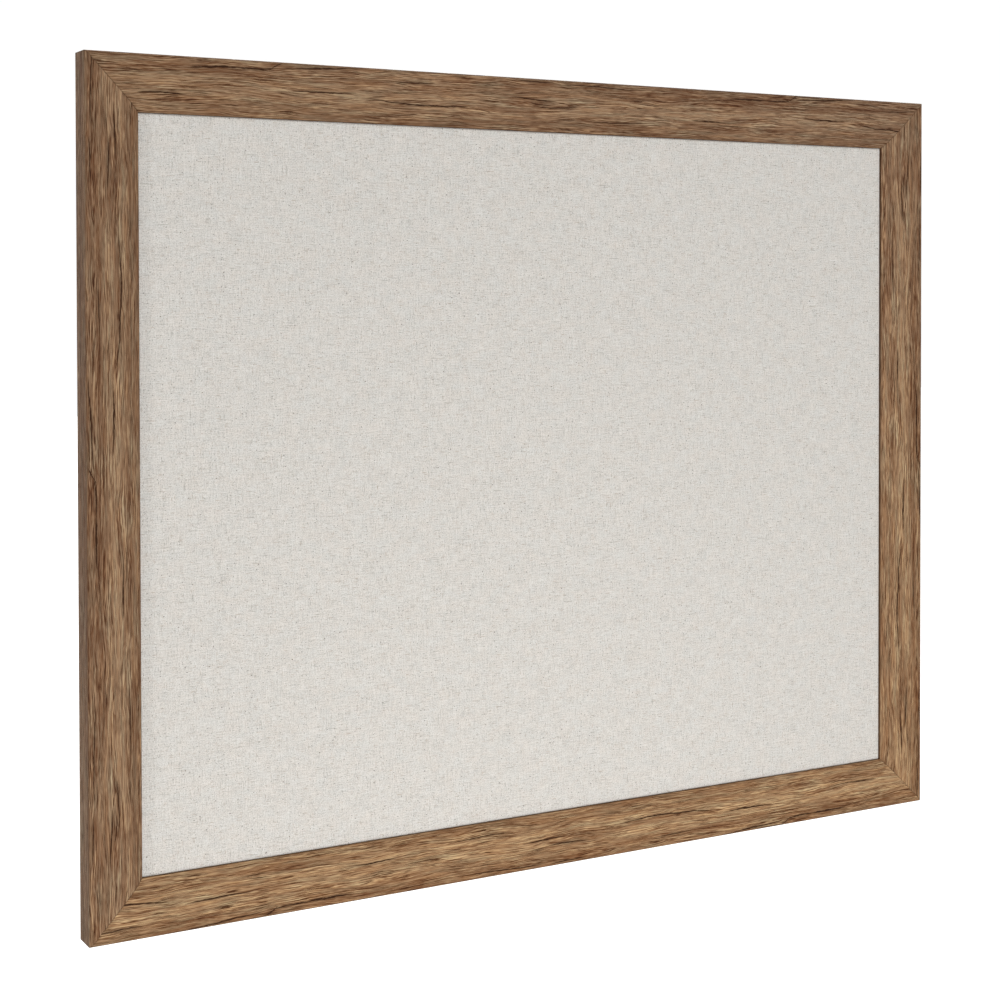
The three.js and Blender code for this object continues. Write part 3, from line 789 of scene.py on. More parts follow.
def moulding_section():
    """The section's outline in metres: inwards from the outer edge, depth from the crest, and the way
    gone round it from the outer side's back corner. It starts where the foil ends on the back."""
    slope_end = ARRIS_RADIUS + SLOPE_WIDTH
    bend_width = SHOULDER_BEND_SHARE * (MOULDING_FACE - slope_end)
    bend_drop = SLOPE_DROP * (1 + bend_width / SLOPE_WIDTH)
    points = [(FOIL_TURN_IN, MOULDING_DEPTH)]
    points += arc((BACK_RADIUS, MOULDING_DEPTH - BACK_RADIUS), BACK_RADIUS, 90, 180, 4)
    points += arc((ARRIS_RADIUS, ARRIS_RADIUS), ARRIS_RADIUS, 180, 270, 14)
    points += [(ARRIS_RADIUS + SLOPE_WIDTH / 2, SLOPE_DROP / 2)]
    points += bend(
        (slope_end, SLOPE_DROP), (slope_end + bend_width, bend_drop), (MOULDING_FACE, SIGHT_DEPTH), 15)[:-1]
    sight_centre = (MOULDING_FACE - SIGHT_RADIUS, SIGHT_DEPTH + SIGHT_ROUND_DROP)
    points += arc(sight_centre, SIGHT_RADIUS, SIGHT_ROUND_ANGLE, 0, 4)
    points += [(MOULDING_FACE, LEDGE_DEPTH), (WOOD_BACK, LEDGE_DEPTH), (WOOD_BACK, MOULDING_DEPTH)]
    way = BACK_RADIUS - FOIL_TURN_IN - BACK_RADIUS * math.pi / 2
    rows = []
    for i, point in enumerate(points):
        if i:
            way += math.dist(point, points[i - 1])
        rows.append((*point, way))
    return in_metres(rows)


def moulding_tree():
    """Draws the section out along a rail and cuts each end back to its mitre."""
    tree, entry = new_tree(
        "mitred_moulding",
        ("Outer length", "Reach", "Crest", "Mitre relief", "Foil turn-in", "Ledge depth", "Print start",
         "First weathering", "Last weathering", "Stations"),
        ("Foil", "Bare wood"))
    swept = stretched_out(tree, entry["Geometry"], entry["Stations"])
    inwards, depth, across, share = [
        add(tree, "GeometryNodeInputNamedAttribute", {"Name": name}, data_type="FLOAT")
        for name in ("inwards", "depth", "across", "share")]
    cut_back = add(tree, "ShaderNodeMath", {0: inwards, 1: entry["Mitre relief"]}, operation="ADD")
    half = add(tree, "ShaderNodeMath", {0: entry["Outer length"], 1: 0.5}, operation="MULTIPLY")
    half = add(tree, "ShaderNodeMath", {0: half, 1: cut_back}, operation="SUBTRACT")
    swing = add(tree, "ShaderNodeMath", {0: share, 1: 2.0, 2: -1.0}, operation="MULTIPLY_ADD")
    x = add(tree, "ShaderNodeMath", {0: swing, 1: half}, operation="MULTIPLY")
    y = add(tree, "ShaderNodeMath", {0: entry["Crest"], 1: depth}, operation="ADD")
    z = add(tree, "ShaderNodeMath", {0: entry["Reach"], 1: inwards}, operation="SUBTRACT")
    placed = add(tree, "GeometryNodeSetPosition", {
        "Geometry": swept, "Position": add(tree, "ShaderNodeCombineXYZ", {0: x, 1: y, 2: z})})

    # The print's place: along it from the stock's own start, and across it round the section
    spot = add(tree, "ShaderNodeSeparateXYZ", {0: add(tree, "GeometryNodeInputPosition")})
    from_end = add(tree, "ShaderNodeMath", {
        0: entry["Outer length"], 1: 0.5, 2: spot}, operation="MULTIPLY_ADD")
    along = add(tree, "ShaderNodeMath", {0: from_end, 1: entry["Print start"]}, operation="ADD")
    place = add(tree, "ShaderNodeCombineXYZ", {0: along, 1: across})
    mapped = add(tree, "GeometryNodeStoreNamedAttribute", {
        "Geometry": placed, "Name": "foil", "Value": place}, data_type="FLOAT2", domain="CORNER")
    # The painted shade, with some of the print's own tone, runs from the first end's level to the last's
    change = add(tree, "ShaderNodeMath", {
        0: entry["Last weathering"], 1: entry["First weathering"]}, operation="SUBTRACT")
    level = add(tree, "ShaderNodeMath", {
        0: share, 1: change, 2: entry["First weathering"]}, operation="MULTIPLY_ADD")
    told = add(tree, "GeometryNodeStoreNamedAttribute", {
        "Geometry": mapped, "Name": "weathering", "Value": level}, data_type="FLOAT", domain="POINT")
    wrapped = add(tree, "GeometryNodeSetMaterial", {"Geometry": told, "Material": entry["Foil"]})

    # What lies behind the lip and inside the foil's turned-in edge is bare
    nearly = 0.01 * MM
    inner = add(tree, "ShaderNodeMath", {0: entry["Foil turn-in"], 1: nearly}, operation="ADD")
    behind = add(tree, "ShaderNodeMath", {0: entry["Ledge depth"], 1: nearly}, operation="SUBTRACT")
    past_foil, past_lip = [
        add(tree, "FunctionNodeCompare", {0: way, 1: limit}, data_type="FLOAT", operation="GREATER_THAN")
        for way, limit in ((inwards, inner), (depth, behind))]
    bare = add(tree, "FunctionNodeBooleanMath", {0: past_foil, 1: past_lip}, operation="AND")
    face_bare = add(tree, "GeometryNodeFieldOnDomain", {"Value": bare}, data_type="BOOLEAN", domain="FACE")
    finished = add(tree, "GeometryNodeSetMaterial", {
        "Geometry": wrapped, "Selection": face_bare, "Material": entry["Bare wood"]})
    add(tree, "NodeGroupOutput", {"Geometry": finished})
    return tree


moulding = moulding_tree()
section = moulding_section()
for side in SIDES:
    outline = outline_mesh(section, True, ("inwards", "depth", "across"))
    lengths = {
        "Outer length": side.length, "Reach": side.reach, "Crest": CREST_Y, "Mitre relief": MITRE_RELIEF,
        "Foil turn-in": FOIL_TURN_IN, "Ledge depth": LEDGE_DEPTH, "Print start": side.print_start}
    rail = shaped_by(moulding, outline, lengths, {
        "First weathering": side.weathering[0], "Last weathering": side.weathering[1],
        "Stations": RAIL_STATIONS, "Foil": foil, "Bare wood": bare_wood})
    rail.transform(side_matrix(side))
    piece_from(f"wrapped_{side.rail}", rail, "board", [side.rail])

# Linen, in millimetres: one sheet over the core's front, round its four edges and in flaps on its back
LINEN_THICKNESS = 0.6
LINEN_FLAP = 32
FOLD_RADIUS = 1.0
FOLD_STEPS = 5
FLAP_STEPS = 3
LINEN_CELLS = (96, 76)
LINEN_WAVE = 0.05
LINEN_WAVE_LENGTH = 55
LINEN_WAVE_SEED = 3.7
LINEN_SHARP_DEGREES = 50


def fold_rings(depth):
    """How the sheet goes on past its flat front, in millimetres: how far out, how far back, cloth used."""
    angles = [math.pi / 2 * i / FOLD_STEPS for i in range(FOLD_STEPS + 1)]
    rings = []
    for a in angles[1:]:
        rings.append((FOLD_RADIUS * math.sin(a), FOLD_RADIUS * (1 - math.cos(a)), FOLD_RADIUS * a))
    used = FOLD_RADIUS * math.pi / 2 + depth - 2 * FOLD_RADIUS
    for a in angles:
        back = depth - FOLD_RADIUS * (1 - math.sin(a))
        rings.append((FOLD_RADIUS * math.cos(a), back, used + FOLD_RADIUS * a))
    used += FOLD_RADIUS * math.pi / 2
    flap = LINEN_FLAP - FOLD_RADIUS
    for i in range(1, FLAP_STEPS + 1):
        rings.append((-flap * i / FLAP_STEPS, depth, used + flap * i / FLAP_STEPS))
    return rings


def linen_sheet():
    """The sheet as a mesh with a map of the flat cloth, and the flat cut's size and area in metres."""
    low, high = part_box("linen_cover")
    half_width = high.x / MM - FOLD_RADIUS
    half_height = high.z / MM - FOLD_RADIUS
    front = low.y / MM
    columns, rows = LINEN_CELLS
    places, cloth, faces = [], [], []
    for j in range(rows + 1):
        for i in range(columns + 1):
            x = half_width * (2 * i / columns - 1)
            z = half_height * (2 * j / rows - 1)
            swell = LINEN_WAVE * noise.noise(Vector((x, LINEN_WAVE_SEED, z)) / LINEN_WAVE_LENGTH)
            places.append((x, front + swell, z))
            cloth.append((x, z))
    for j in range(rows):
        for i in range(columns):
            a = j * (columns + 1) + i
            faces.append((a, a + 1, a + columns + 2, a + columns + 1))
    bottom = list(range(columns))
    right = [columns + j * (columns + 1) for j in range(rows)]
    top = [rows * (columns + 1) + columns - i for i in range(columns)]
    left = [(rows - j) * (columns + 1) for j in range(rows)]
    edge = bottom + right + top + left
    last = edge
    rings = fold_rings((high.y - low.y) / MM)
    for out, back, used in rings:
        ring = []
        for index in edge:
            x, _, z = places[index]
            on_side = abs(x) > half_width - MM
            on_end = abs(z) > half_height - MM
            ring.append(len(places))
            places.append((x * (1 + out / half_width), front + back, z * (1 + out / half_height)))
            cloth.append((
                x + math.copysign(used, x) if on_side else places[-1][0],
                z + math.copysign(used, z) if on_end else places[-1][2]))
        for k in range(len(edge)):
            nxt = (k + 1) % len(edge)
            faces.append((last[k], ring[k], ring[nxt], last[nxt]))
        last = ring
    mesh = bpy.data.meshes.new("linen")
    mesh.from_pydata(in_metres(places), [], faces)
    layer = mesh.uv_layers.new(name="weave")
    for loop in mesh.loops:
        layer.data[loop.index].uv = tuple(c * MM for c in cloth[loop.vertex_index])
    mesh.materials.append(linen)
    reach = rings[-1][2]
    flat = (2 * (half_width + reach) * MM, 2 * (half_height + reach) * MM)
    return mesh, flat, sum(face.area for face in mesh.polygons)


sheet_mesh, sheet_flat, sheet_area = linen_sheet()
sheet_mesh = with_modifiers(sheet_mesh, ("SOLIDIFY", {"thickness": LINEN_THICKNESS * MM, "offset": -1}))
cover = piece_from("stretched_linen", sheet_mesh, "board", ["linen_cover"], LINEN_SHARP_DEGREES)

# Backing: a sheet of hardboard with its sawn edges eased, in millimetres
BACKING_EASE = 0.25


def backing_sheet():
    """The panel, as large as its solid."""
    low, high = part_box("backing_panel")
    mesh = bpy.data.meshes.new("backing")
    shape = bmesh.new()
    bmesh.ops.create_cube(shape, size=1)
    for vertex in shape.verts:
        vertex.co = Vector(a + (c + 0.5) * b for a, b, c in zip(low, high - low, vertex.co))
    bmesh.ops.bevel(
        shape, geom=shape.edges[:], offset=BACKING_EASE * MM, segments=2, affect="EDGES", profile=0.5)
    bmesh.ops.recalc_face_normals(shape, faces=shape.faces[:])
    shape.to_mesh(mesh)
    shape.free()
    mesh.materials.append(back_board)
    return mesh


piece_from("hardboard_back", backing_sheet(), "board", ["backing_panel"])
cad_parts["pin_core"].data.materials.clear()
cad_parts["pin_core"].data.materials.append(core_board)

# Retainer points, in millimetres: driven into the rabbet's wall, their blunt ends down on the backing
POINT_THICKNESS = 0.5
POINT_WIDTH = 6
POINT_LENGTH = 15
POINT_IN_WOOD = 6
POINT_TIP = 2.5
POINT_CORNER = 1.2
POINT_COVER = 1.6
POINT_PRESS = 0.28

# Wall bumpers, in millimetres
BUMPER_RADIUS = 5.5
BUMPER_FACE_RADIUS = 3.9
BUMPER_RIM = 1.6
BUMPER_FOOT_EASE = 0.3
BUMPER_SETBACK = 20
BUMPER_SIDES = 48

# Hangers, in millimetres, in their own frame: the eye over the origin, the ring along +X, the wall at +Y
STRAP_WIDTH = 10
STRAP_THICKNESS = 0.8
STRAP_TAIL = 38
STRAP_HOLE_RADIUS = 2
STRAP_HOLE_SHARES = (0.55, 0.84)
STRAP_SEAM = 0.03
STRAP_EASE = 0.12
STRAP_RISE = 5
STRAP_CURL_END = 140
CUTTER_MARGIN = 1
HANGER_SETBACK = 84
SEAT_GAP = 0.3
WIRE_RADIUS = 1.1
WIRE_SIDES = 20
EYE_PLAY = 0.3
RING_WIDTH = 18
RING_REACH = 14
RING_BEND = 2.5
WIRE_GAP = 0.5
RING_REST_GAP = 0.3
EYE_RADIUS = WIRE_RADIUS + EYE_PLAY + STRAP_THICKNESS
EYE_Y = SEAT_GAP + EYE_RADIUS
RING_LEAN = math.asin((EYE_Y - WIRE_RADIUS - RING_REST_GAP) / RING_REACH)

# Hanger screws, in millimetres: pan heads
HEAD_RADIUS = 3.3
HEAD_RIM = 0.7
HEAD_EASE = 0.15
HEAD_HEIGHT = 2
SHANK_RADIUS = 1.5
SHANK_LENGTH = 12
SHANK_TIP = 3
SCREW_SIDES = 40
RECESS_LENGTH = 3.6
RECESS_WIDTH = 0.9
RECESS_DEPTH = 1.1
SCREW_SEED = 7


# Hangers

def hanger_matrix(side):
    """From a hanger's own frame to the board's."""
    way = Matrix.Rotation(0 if side.hanger_way > 0 else math.pi, 4, "Y")
    along = side.hanger_way * (side.length / 2 - HANGER_SETBACK)
    return placed_on(side, along, BACK_Y, side.reach - WOOD_BACK / 2) @ way


def strap_line():
    """The middle of the strip, seen from its edge: from the tail, round the eye and back to the tail."""
    middle = EYE_RADIUS - STRAP_THICKNESS / 2
    lower = STRAP_THICKNESS / 2
    upper = STRAP_THICKNESS * 1.5 + STRAP_SEAM
    rise = [(-STRAP_TAIL, lower)]
    for i in range(9):
        t = i / 8
        ease = t * t * (3 - 2 * t)
        rise.append((-STRAP_RISE * (1 - t), lower + ease * (EYE_Y - middle - lower)))
    loop = arc((0, EYE_Y), middle, -90, STRAP_CURL_END, 26)[1:]
    end = Vector(loop[-1])
    turn = math.radians(STRAP_CURL_END)
    down = Vector((-math.sin(turn), math.cos(turn)))
    landing = end + down * (end.y - upper) / -down.y

    # The curl comes down on the lower layer in a short bend
    corner = [landing + down * -0.9, landing + Vector((-0.25, 0.22)), landing + Vector((-1.1, 0))]
    return rise + loop + [tuple(point) for point in corner] + [(-STRAP_TAIL, upper)]


def offset_line(points, distance):
    """The line moved sideways by a distance."""
    moved = []
    for i, point in enumerate(points):
        before = Vector(points[max(i - 1, 0)])
        after = Vector(points[min(i + 1, len(points) - 1)])
        way = (after - before).normalized()
        moved.append((point[0] - way.y * distance, point[1] + way.x * distance))
    return moved


def prism(outline, axis, start, end):
    """An outline made solid along Y or Z, in millimetres, as a mesh in metres."""
    mesh = bpy.data.meshes.new("prism")
    shape = bmesh.new()
    layers = []
    for level in (start, end):
        corners = [(a, b, level) if axis == "Z" else (a, level, b) for a, b in outline]
        layers.append([shape.verts.new(Vector(corner) * MM) for corner in corners])
    shape.faces.new(layers[0])
    shape.faces.new(layers[1][::-1])
    for i in range(len(outline)):
        j = (i + 1) % len(outline)
        shape.faces.new((layers[0][i], layers[1][i], layers[1][j], layers[0][j]))
    bmesh.ops.recalc_face_normals(shape, faces=shape.faces[:])
    shape.to_mesh(mesh)
    shape.free()
    return mesh


def folded_strap():
    """A strip of steel folded round the ring's bar, its tail rounded, both layers drilled for two screws."""
    line = strap_line()
    outline = offset_line(line, STRAP_THICKNESS / 2) + offset_line(line, -STRAP_THICKNESS / 2)[::-1]
    end = STRAP_WIDTH / 2
    strip = prism(outline, "Z", -end, end)
    tip = EYE_RADIUS + CUTTER_MARGIN
    aside = end + CUTTER_MARGIN
    plan = [(tip, -aside), (tip, aside), (end - STRAP_TAIL, aside)]
    plan += arc((end - STRAP_TAIL, 0), end, 90, 270, 32)
    plan += [(end - STRAP_TAIL, -aside)]
    tools = [("INTERSECT", prism(plan, "Y", -CUTTER_MARGIN, 2 * EYE_Y + CUTTER_MARGIN))]
    for share in STRAP_HOLE_SHARES:
        hole = arc((-share * STRAP_TAIL, 0), STRAP_HOLE_RADIUS, 0, 360, 32)[:-1]
        tools.append(("DIFFERENCE", prism(hole, "Y", -CUTTER_MARGIN, 2 * EYE_Y)))
    steps = []
    for operation, tool in tools:
        steps.append(("BOOLEAN", {"object": put("tool", tool), "operation": operation, "solver": "EXACT"}))
    holders = [settings["object"] for _, settings in steps]
    steps.append(("BEVEL", {
        "width": STRAP_EASE * MM, "segments": 2, "limit_method": "ANGLE", "angle_limit": math.radians(50)}))
    mesh = with_modifiers(strip, *steps)
    for holder in holders:
        bpy.data.objects.remove(holder)
    mesh.materials.append(zinc)
    return mesh


def ring_line():
    """The wire's middle line: a D whose straight bar lies in the eye, where its ends nearly meet."""
    half = RING_WIDTH / 2
    corner = RING_BEND
    points = [(0, WIRE_GAP / 2), (0, (half - corner) / 2)]
    points += arc((corner, half - corner), corner, 180, 90, 10)
    points += arc((RING_REACH - half, 0), half, 90, -90, 48)
    points += arc((corner, corner - half), corner, -90, -180, 10)
    points += [(0, (corner - half) / 2), (0, -WIRE_GAP / 2)]
    return points


def wire_tree():
    """A round wire along a line."""
    tree, entry = new_tree("wire_ring", ("Wire radius", "Sides"), ("Finish",))
    curve = add(tree, "GeometryNodeMeshToCurve", {"Mesh": entry["Geometry"]})
    circle = add(tree, "GeometryNodeCurvePrimitiveCircle", {
        "Resolution": entry["Sides"], "Radius": entry["Wire radius"]})
    return end_tree(tree, entry, add(tree, "GeometryNodeCurveToMesh", {
        "Curve": curve, "Profile Curve": circle, "Fill Caps": True}))


def hang_rings():
    """A ring for each strap, leaning back against the frame as its solid does. Each is a body of its own."""
    tree = wire_tree()
    eye = Matrix.Translation(Vector((0, EYE_Y, 0)) * MM)
    lean = Matrix.Rotation(-RING_LEAN, 4, "Z")
    points = [Vector((a, 0, b)) * MM for a, b in ring_line()]
    for side in SIDES:
        line = bpy.data.meshes.new("ring_line")
        line.from_pydata(points, [(i, i + 1) for i in range(len(points) - 1)], [])
        ring = shaped_by(tree, line, {"Wire radius": WIRE_RADIUS}, {"Sides": WIRE_SIDES, "Finish": nickel})
        ring.transform(hanger_matrix(side) @ eye @ lean)
        node = f"hanger_ring_{side.name}"
        piece_from(f"wire_ring_{side.name}", ring, f"ring_{side.name}", [node])


def fit_straps():
    """The four straps, all on the board."""
    for side in SIDES:
        strap = folded_strap()
        strap.transform(hanger_matrix(side))
        piece_from(f"folded_strap_{side.name}", strap, "board", [f"hanger_strap_{side.name}"])


# Fasteners. Each shape is made once and set out on its places by a tree

def pressed_tree():
    """A flat outline given its thickness, bowed a little along its length, and set out on its places."""
    tree, entry = new_tree("pressed_fastener", ("Thickness", "Bow", "Length"), ("Finish",))
    swept = stretched_out(tree, entry["Geometry"], 2)
    across, along, share = [
        add(tree, "GeometryNodeInputNamedAttribute", {"Name": name}, data_type="FLOAT")
        for name in ("across", "inwards", "share")]
    way = add(tree, "ShaderNodeMath", {0: along, 1: entry["Length"]}, operation="DIVIDE")
    rise = add(tree, "ShaderNodeMath", {0: way, 1: 2.0}, operation="POWER")
    bowed = add(tree, "ShaderNodeMath", {0: rise, 1: entry["Bow"]}, operation="MULTIPLY")
    y = add(tree, "ShaderNodeMath", {0: share, 1: entry["Thickness"], 2: bowed}, operation="MULTIPLY_ADD")
    placed = add(tree, "GeometryNodeSetPosition", {
        "Geometry": swept, "Position": add(tree, "ShaderNodeCombineXYZ", {0: across, 1: y, 2: along})})
    return set_out(tree, entry, add(tree, "GeometryNodeFlipFaces", {0: placed}))


def cross_recess(tree, entry, head):
    """A cross recess cut into a screw's head, its walls drawing in as they go down."""
    spot = add(tree, "ShaderNodeSeparateXYZ", {0: add(tree, "GeometryNodeInputPosition")}).outputs
    way = add(tree, "ShaderNodeMath", {0: spot[1], 1: entry["Recess depth"]}, operation="DIVIDE")
    narrow = add(tree, "ShaderNodeMapRange", {
        "Value": way, "From Min": -0.5, "From Max": 0.5, "To Min": 0.5, "To Max": 1.2})
    x, z = [add(tree, "ShaderNodeMath", {0: spot[axis], 1: narrow}, operation="MULTIPLY") for axis in (0, 2)]
    y = add(tree, "ShaderNodeMath", {0: entry["Head top"], 1: spot[1]}, operation="ADD")
    tapered = add(tree, "ShaderNodeCombineXYZ", {0: x, 1: y, 2: z})
    cut = add(tree, "GeometryNodeMeshBoolean", {"Mesh 1": head}, operation="DIFFERENCE", solver="EXACT")
    for length, width in (("Recess length", "Recess width"), ("Recess width", "Recess length")):
        size = add(tree, "ShaderNodeCombineXYZ", {
            0: entry[length], 1: entry["Recess depth"], 2: entry[width]})
        block = add(tree, "GeometryNodeMeshCube", {"Size": size})
        cutter = add(tree, "GeometryNodeSetPosition", {"Geometry": block, "Position": tapered})
        tree.links.new(cutter.outputs["Geometry"], cut.inputs["Mesh 2"])
    return cut.outputs["Mesh"]


def turned_tree(name, sizes):
    """A half section turned about its axis, and set out on its places. With a recess length, a cross
    recess is cut into its head and each one is turned by chance, as screws are when driven."""
    tree, entry = new_tree(name, ("Sides", *sizes), ("Finish",))
    circle = add(tree, "GeometryNodeCurvePrimitiveCircle", {"Resolution": entry["Sides"], "Radius": 1.0})
    swept = swept_along(tree, entry["Geometry"], circle.outputs["Curve"])
    radius, height, share = [
        add(tree, "GeometryNodeInputNamedAttribute", {"Name": key}, data_type="FLOAT")
        for key in ("across", "depth", "share")]
    angle = add(tree, "ShaderNodeMath", {0: share, 1: 2 * math.pi}, operation="MULTIPLY")
    x, z = [
        add(tree, "ShaderNodeMath", {
            0: radius, 1: add(tree, "ShaderNodeMath", {0: angle}, operation=way)}, operation="MULTIPLY")
        for way in ("COSINE", "SINE")]
    placed = add(tree, "GeometryNodeSetPosition", {
        "Geometry": swept, "Position": add(tree, "ShaderNodeCombineXYZ", {0: x, 1: height, 2: z})})
    shape = add(tree, "GeometryNodeMergeByDistance", {"Geometry": placed, "Distance": 0.001 * MM})
    if "Recess length" not in sizes:
        return set_out(tree, entry, shape)
    chance = add(tree, "FunctionNodeRandomValue", {
        "Max": math.pi / 2, "Seed": entry["Seed"]}, data_type="FLOAT")
    turn = add(tree, "FunctionNodeEulerToRotation", {
        "Euler": add(tree, "ShaderNodeCombineXYZ", {1: chance})})
    return set_out(tree, entry, cross_recess(tree, entry, shape), turn)


def flat_outline(points):
    """The outline of a flat piece, its second numbers running inwards."""
    return outline_mesh(in_metres(points), True, ("across", "inwards"))


def half_section(points):
    """The section of a turned piece, from its axis round to its axis."""
    return outline_mesh(in_metres(points), False, ("across", "depth"))


def point_outline():
    """Seen flat: a blunt end with rounded corners, straight sides and a tip."""
    half = POINT_WIDTH / 2
    corner = POINT_CORNER
    points = arc((half - corner, corner), corner, -90, 0, 4)
    points += [(half, POINT_LENGTH - POINT_TIP), (0, POINT_LENGTH), (-half, POINT_LENGTH - POINT_TIP)]
    return flat_outline(points + arc((corner - half, corner), corner, 180, 270, 4))


def point_places():
    """Where each point's blunt end lies, and which way it faces."""
    level = BACK_Y - POINT_COVER - POINT_THICKNESS - POINT_PRESS
    found = []
    for side in SIDES:
        spacing = (side.length - 2 * MOULDING_FACE) / side.points
        inner_end = side.reach - WOOD_BACK + POINT_IN_WOOD - POINT_LENGTH
        for i in range(side.points):
            found.append(placed_on(side, (i + 0.5 - side.points / 2) * spacing, level, inner_end))
    return found


def nail_outline():
    """Seen from the back: a right angle of strip, its legs a little curled at their ends."""
    leg, strip, tip = NAIL_LEG, NAIL_STRIP, NAIL_TIP
    half = [(-leg + tip, 0), (-leg, -strip / 2), (-leg, -strip - NAIL_CURL), (-leg + tip, -strip)]
    return flat_outline([(0, 0)] + half + [(-strip, -strip)] + [(b, a) for a, b in half[::-1]])


def nail_places():
    """Two places on each mitre."""
    insets = [share * WOOD_BACK for share in NAIL_PLACE_SHARES]
    level = BACK_Y - NAIL_SINK - NAIL_HEIGHT
    return [placed_on(side, side.length / 2 - i, level, side.reach - i) for side in SIDES for i in insets]


def bumper_section():
    """Half of a bumper, from its foot's centre out, up and in to its face's centre."""
    radius, rim = BUMPER_RADIUS, BUMPER_RIM
    foot = [(0, 0), (radius - BUMPER_FOOT_EASE, 0), (radius, BUMPER_FOOT_EASE)]
    wall = bend((radius, rim), (radius, WALL_GAP), (BUMPER_FACE_RADIUS, WALL_GAP), 8)
    return half_section(foot + wall + [(0, WALL_GAP)])


def bumper_places():
    """A foot over each corner, stuck to the wood."""
    return [placed_on(side, side.length / 2 - BUMPER_SETBACK, BACK_Y, side.reach - BUMPER_SETBACK)
            for side in SIDES]


def screw_section():
    """Half of a screw, from its tip out along the shank, under the head and over it."""
    shank = [(0, -SHANK_LENGTH), (SHANK_RADIUS, SHANK_TIP - SHANK_LENGTH), (SHANK_RADIUS, 0)]
    rim = [(HEAD_RADIUS - HEAD_EASE, 0), (HEAD_RADIUS, HEAD_EASE)]
    pan = bend((HEAD_RADIUS, HEAD_RIM), (HEAD_RADIUS, HEAD_HEIGHT), (0, HEAD_HEIGHT), 8)
    return half_section(shank + rim + pan)


def screw_places():
    """Two on each strap, their heads down on it."""
    level = 2 * STRAP_THICKNESS + STRAP_SEAM
    return [hanger_matrix(side) @ Matrix.Translation(Vector((-share * STRAP_TAIL, level, 0)) * MM)
            for side in SIDES for share in STRAP_HOLE_SHARES]


def places_object(matrices):
    """An object with a point on each place, which carries the way it faces."""
    mesh = bpy.data.meshes.new("places")
    mesh.from_pydata([tuple(m.to_translation()) for m in matrices], [], [])
    facing = mesh.attributes.new("facing", "FLOAT_VECTOR", "POINT")
    facing.data.foreach_set("vector", [angle for m in matrices for angle in m.to_euler()])
    return put("places", mesh)


def fit_fasteners(name, tree, outline, matrices, prefix, lengths, others):
    """All fasteners of one kind, as one piece on the board."""
    spots = places_object(matrices)
    mesh = shaped_by(tree, outline, lengths, {**others, "Places": spots})
    bpy.data.objects.remove(spots)
    nodes = [node for node in sorted(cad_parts) if node.startswith(prefix)]
    piece_from(name, mesh, "board", nodes)


fit_straps()
hang_rings()
fit_fasteners(
    "driven_retainer_points", pressed_tree(), point_outline(), point_places(), "retainer_point",
    {"Thickness": POINT_THICKNESS, "Bow": POINT_PRESS, "Length": POINT_LENGTH}, {"Finish": zinc})
fit_fasteners(
    "driven_corner_nails", pressed_tree(), nail_outline(), nail_places(), "corner_nail",
    {"Thickness": NAIL_HEIGHT, "Bow": 0.0, "Length": NAIL_LEG}, {"Finish": zinc})
fit_fasteners(
    "rubber_wall_bumpers", turned_tree("moulded_bumper", ()), bumper_section(), bumper_places(),
    "wall_bumper", {}, {"Sides": BUMPER_SIDES, "Finish": rubber})
fit_fasteners(
    "pan_head_screws",
    turned_tree("pan_head_screw", ("Recess length", "Recess width", "Recess depth", "Head top", "Seed")),
    screw_section(), screw_places(), "hanger_screw",
    {"Recess length": RECESS_LENGTH, "Recess width": RECESS_WIDTH, "Recess depth": 2 * RECESS_DEPTH,
     "Head top": HEAD_HEIGHT},
    {"Sides": SCREW_SIDES, "Seed": SCREW_SEED, "Finish": zinc})

# Light and surroundings, in metres. Lamp levels are what a white face square to the lamp gets from it
FLOOR_LEVEL = -1.25
FLOOR_SIZE = 40
FLOOR_FADE = (1.5, 2.6)
WORLD_LIGHT = 0.22
WORLD_WHITE = 1.02
KEY_FROM = (0.0, -0.93, 0.37)
KEY_LEVEL = 0.424
KEY_SPREAD = 16
SIDE_FROM = (-0.94, -0.342, 0.0)
SIDE_LEVEL = 0.25
SIDE_SPREAD = 6
BACK_FROM = (0.45, 0.8, 0.4)
BACK_LEVEL = 0.62
BACK_SPREAD = 45
FILL_PLACE = (-0.1, -1.1, -0.66)
FILL_SIZE = (0.6, 0.3)
FILL_POWER = 4.2


def seen_ray(tree):
    """One for what the camera sees, straight on, in a gloss or through glass, and nought for mere light."""
    ray = add(tree, "ShaderNodeLightPath").outputs
    seen = ray["Is Camera Ray"]
    for way in ("Is Glossy Ray", "Is Transmission Ray"):
        seen = add(tree, "ShaderNodeMath", {0: seen, 1: ray[way]}, operation="MAXIMUM")
    return seen


def studio_world():
    """An even soft light, and pure white where the camera or a gloss looks past the object."""
    world = bpy.data.worlds.new("studio")
    bpy.context.scene.world = world
    world.use_nodes = True
    tree = world.node_tree
    tree.nodes.clear()
    soft, white = [add(tree, "ShaderNodeBackground", {"Color": colour("#ffffff"), "Strength": level})
                   for level in (WORLD_LIGHT, WORLD_WHITE)]
    mixed = add(tree, "ShaderNodeMixShader", {0: seen_ray(tree), 1: soft, 2: white})
    add(tree, "ShaderNodeOutputWorld", {"Surface": mixed})


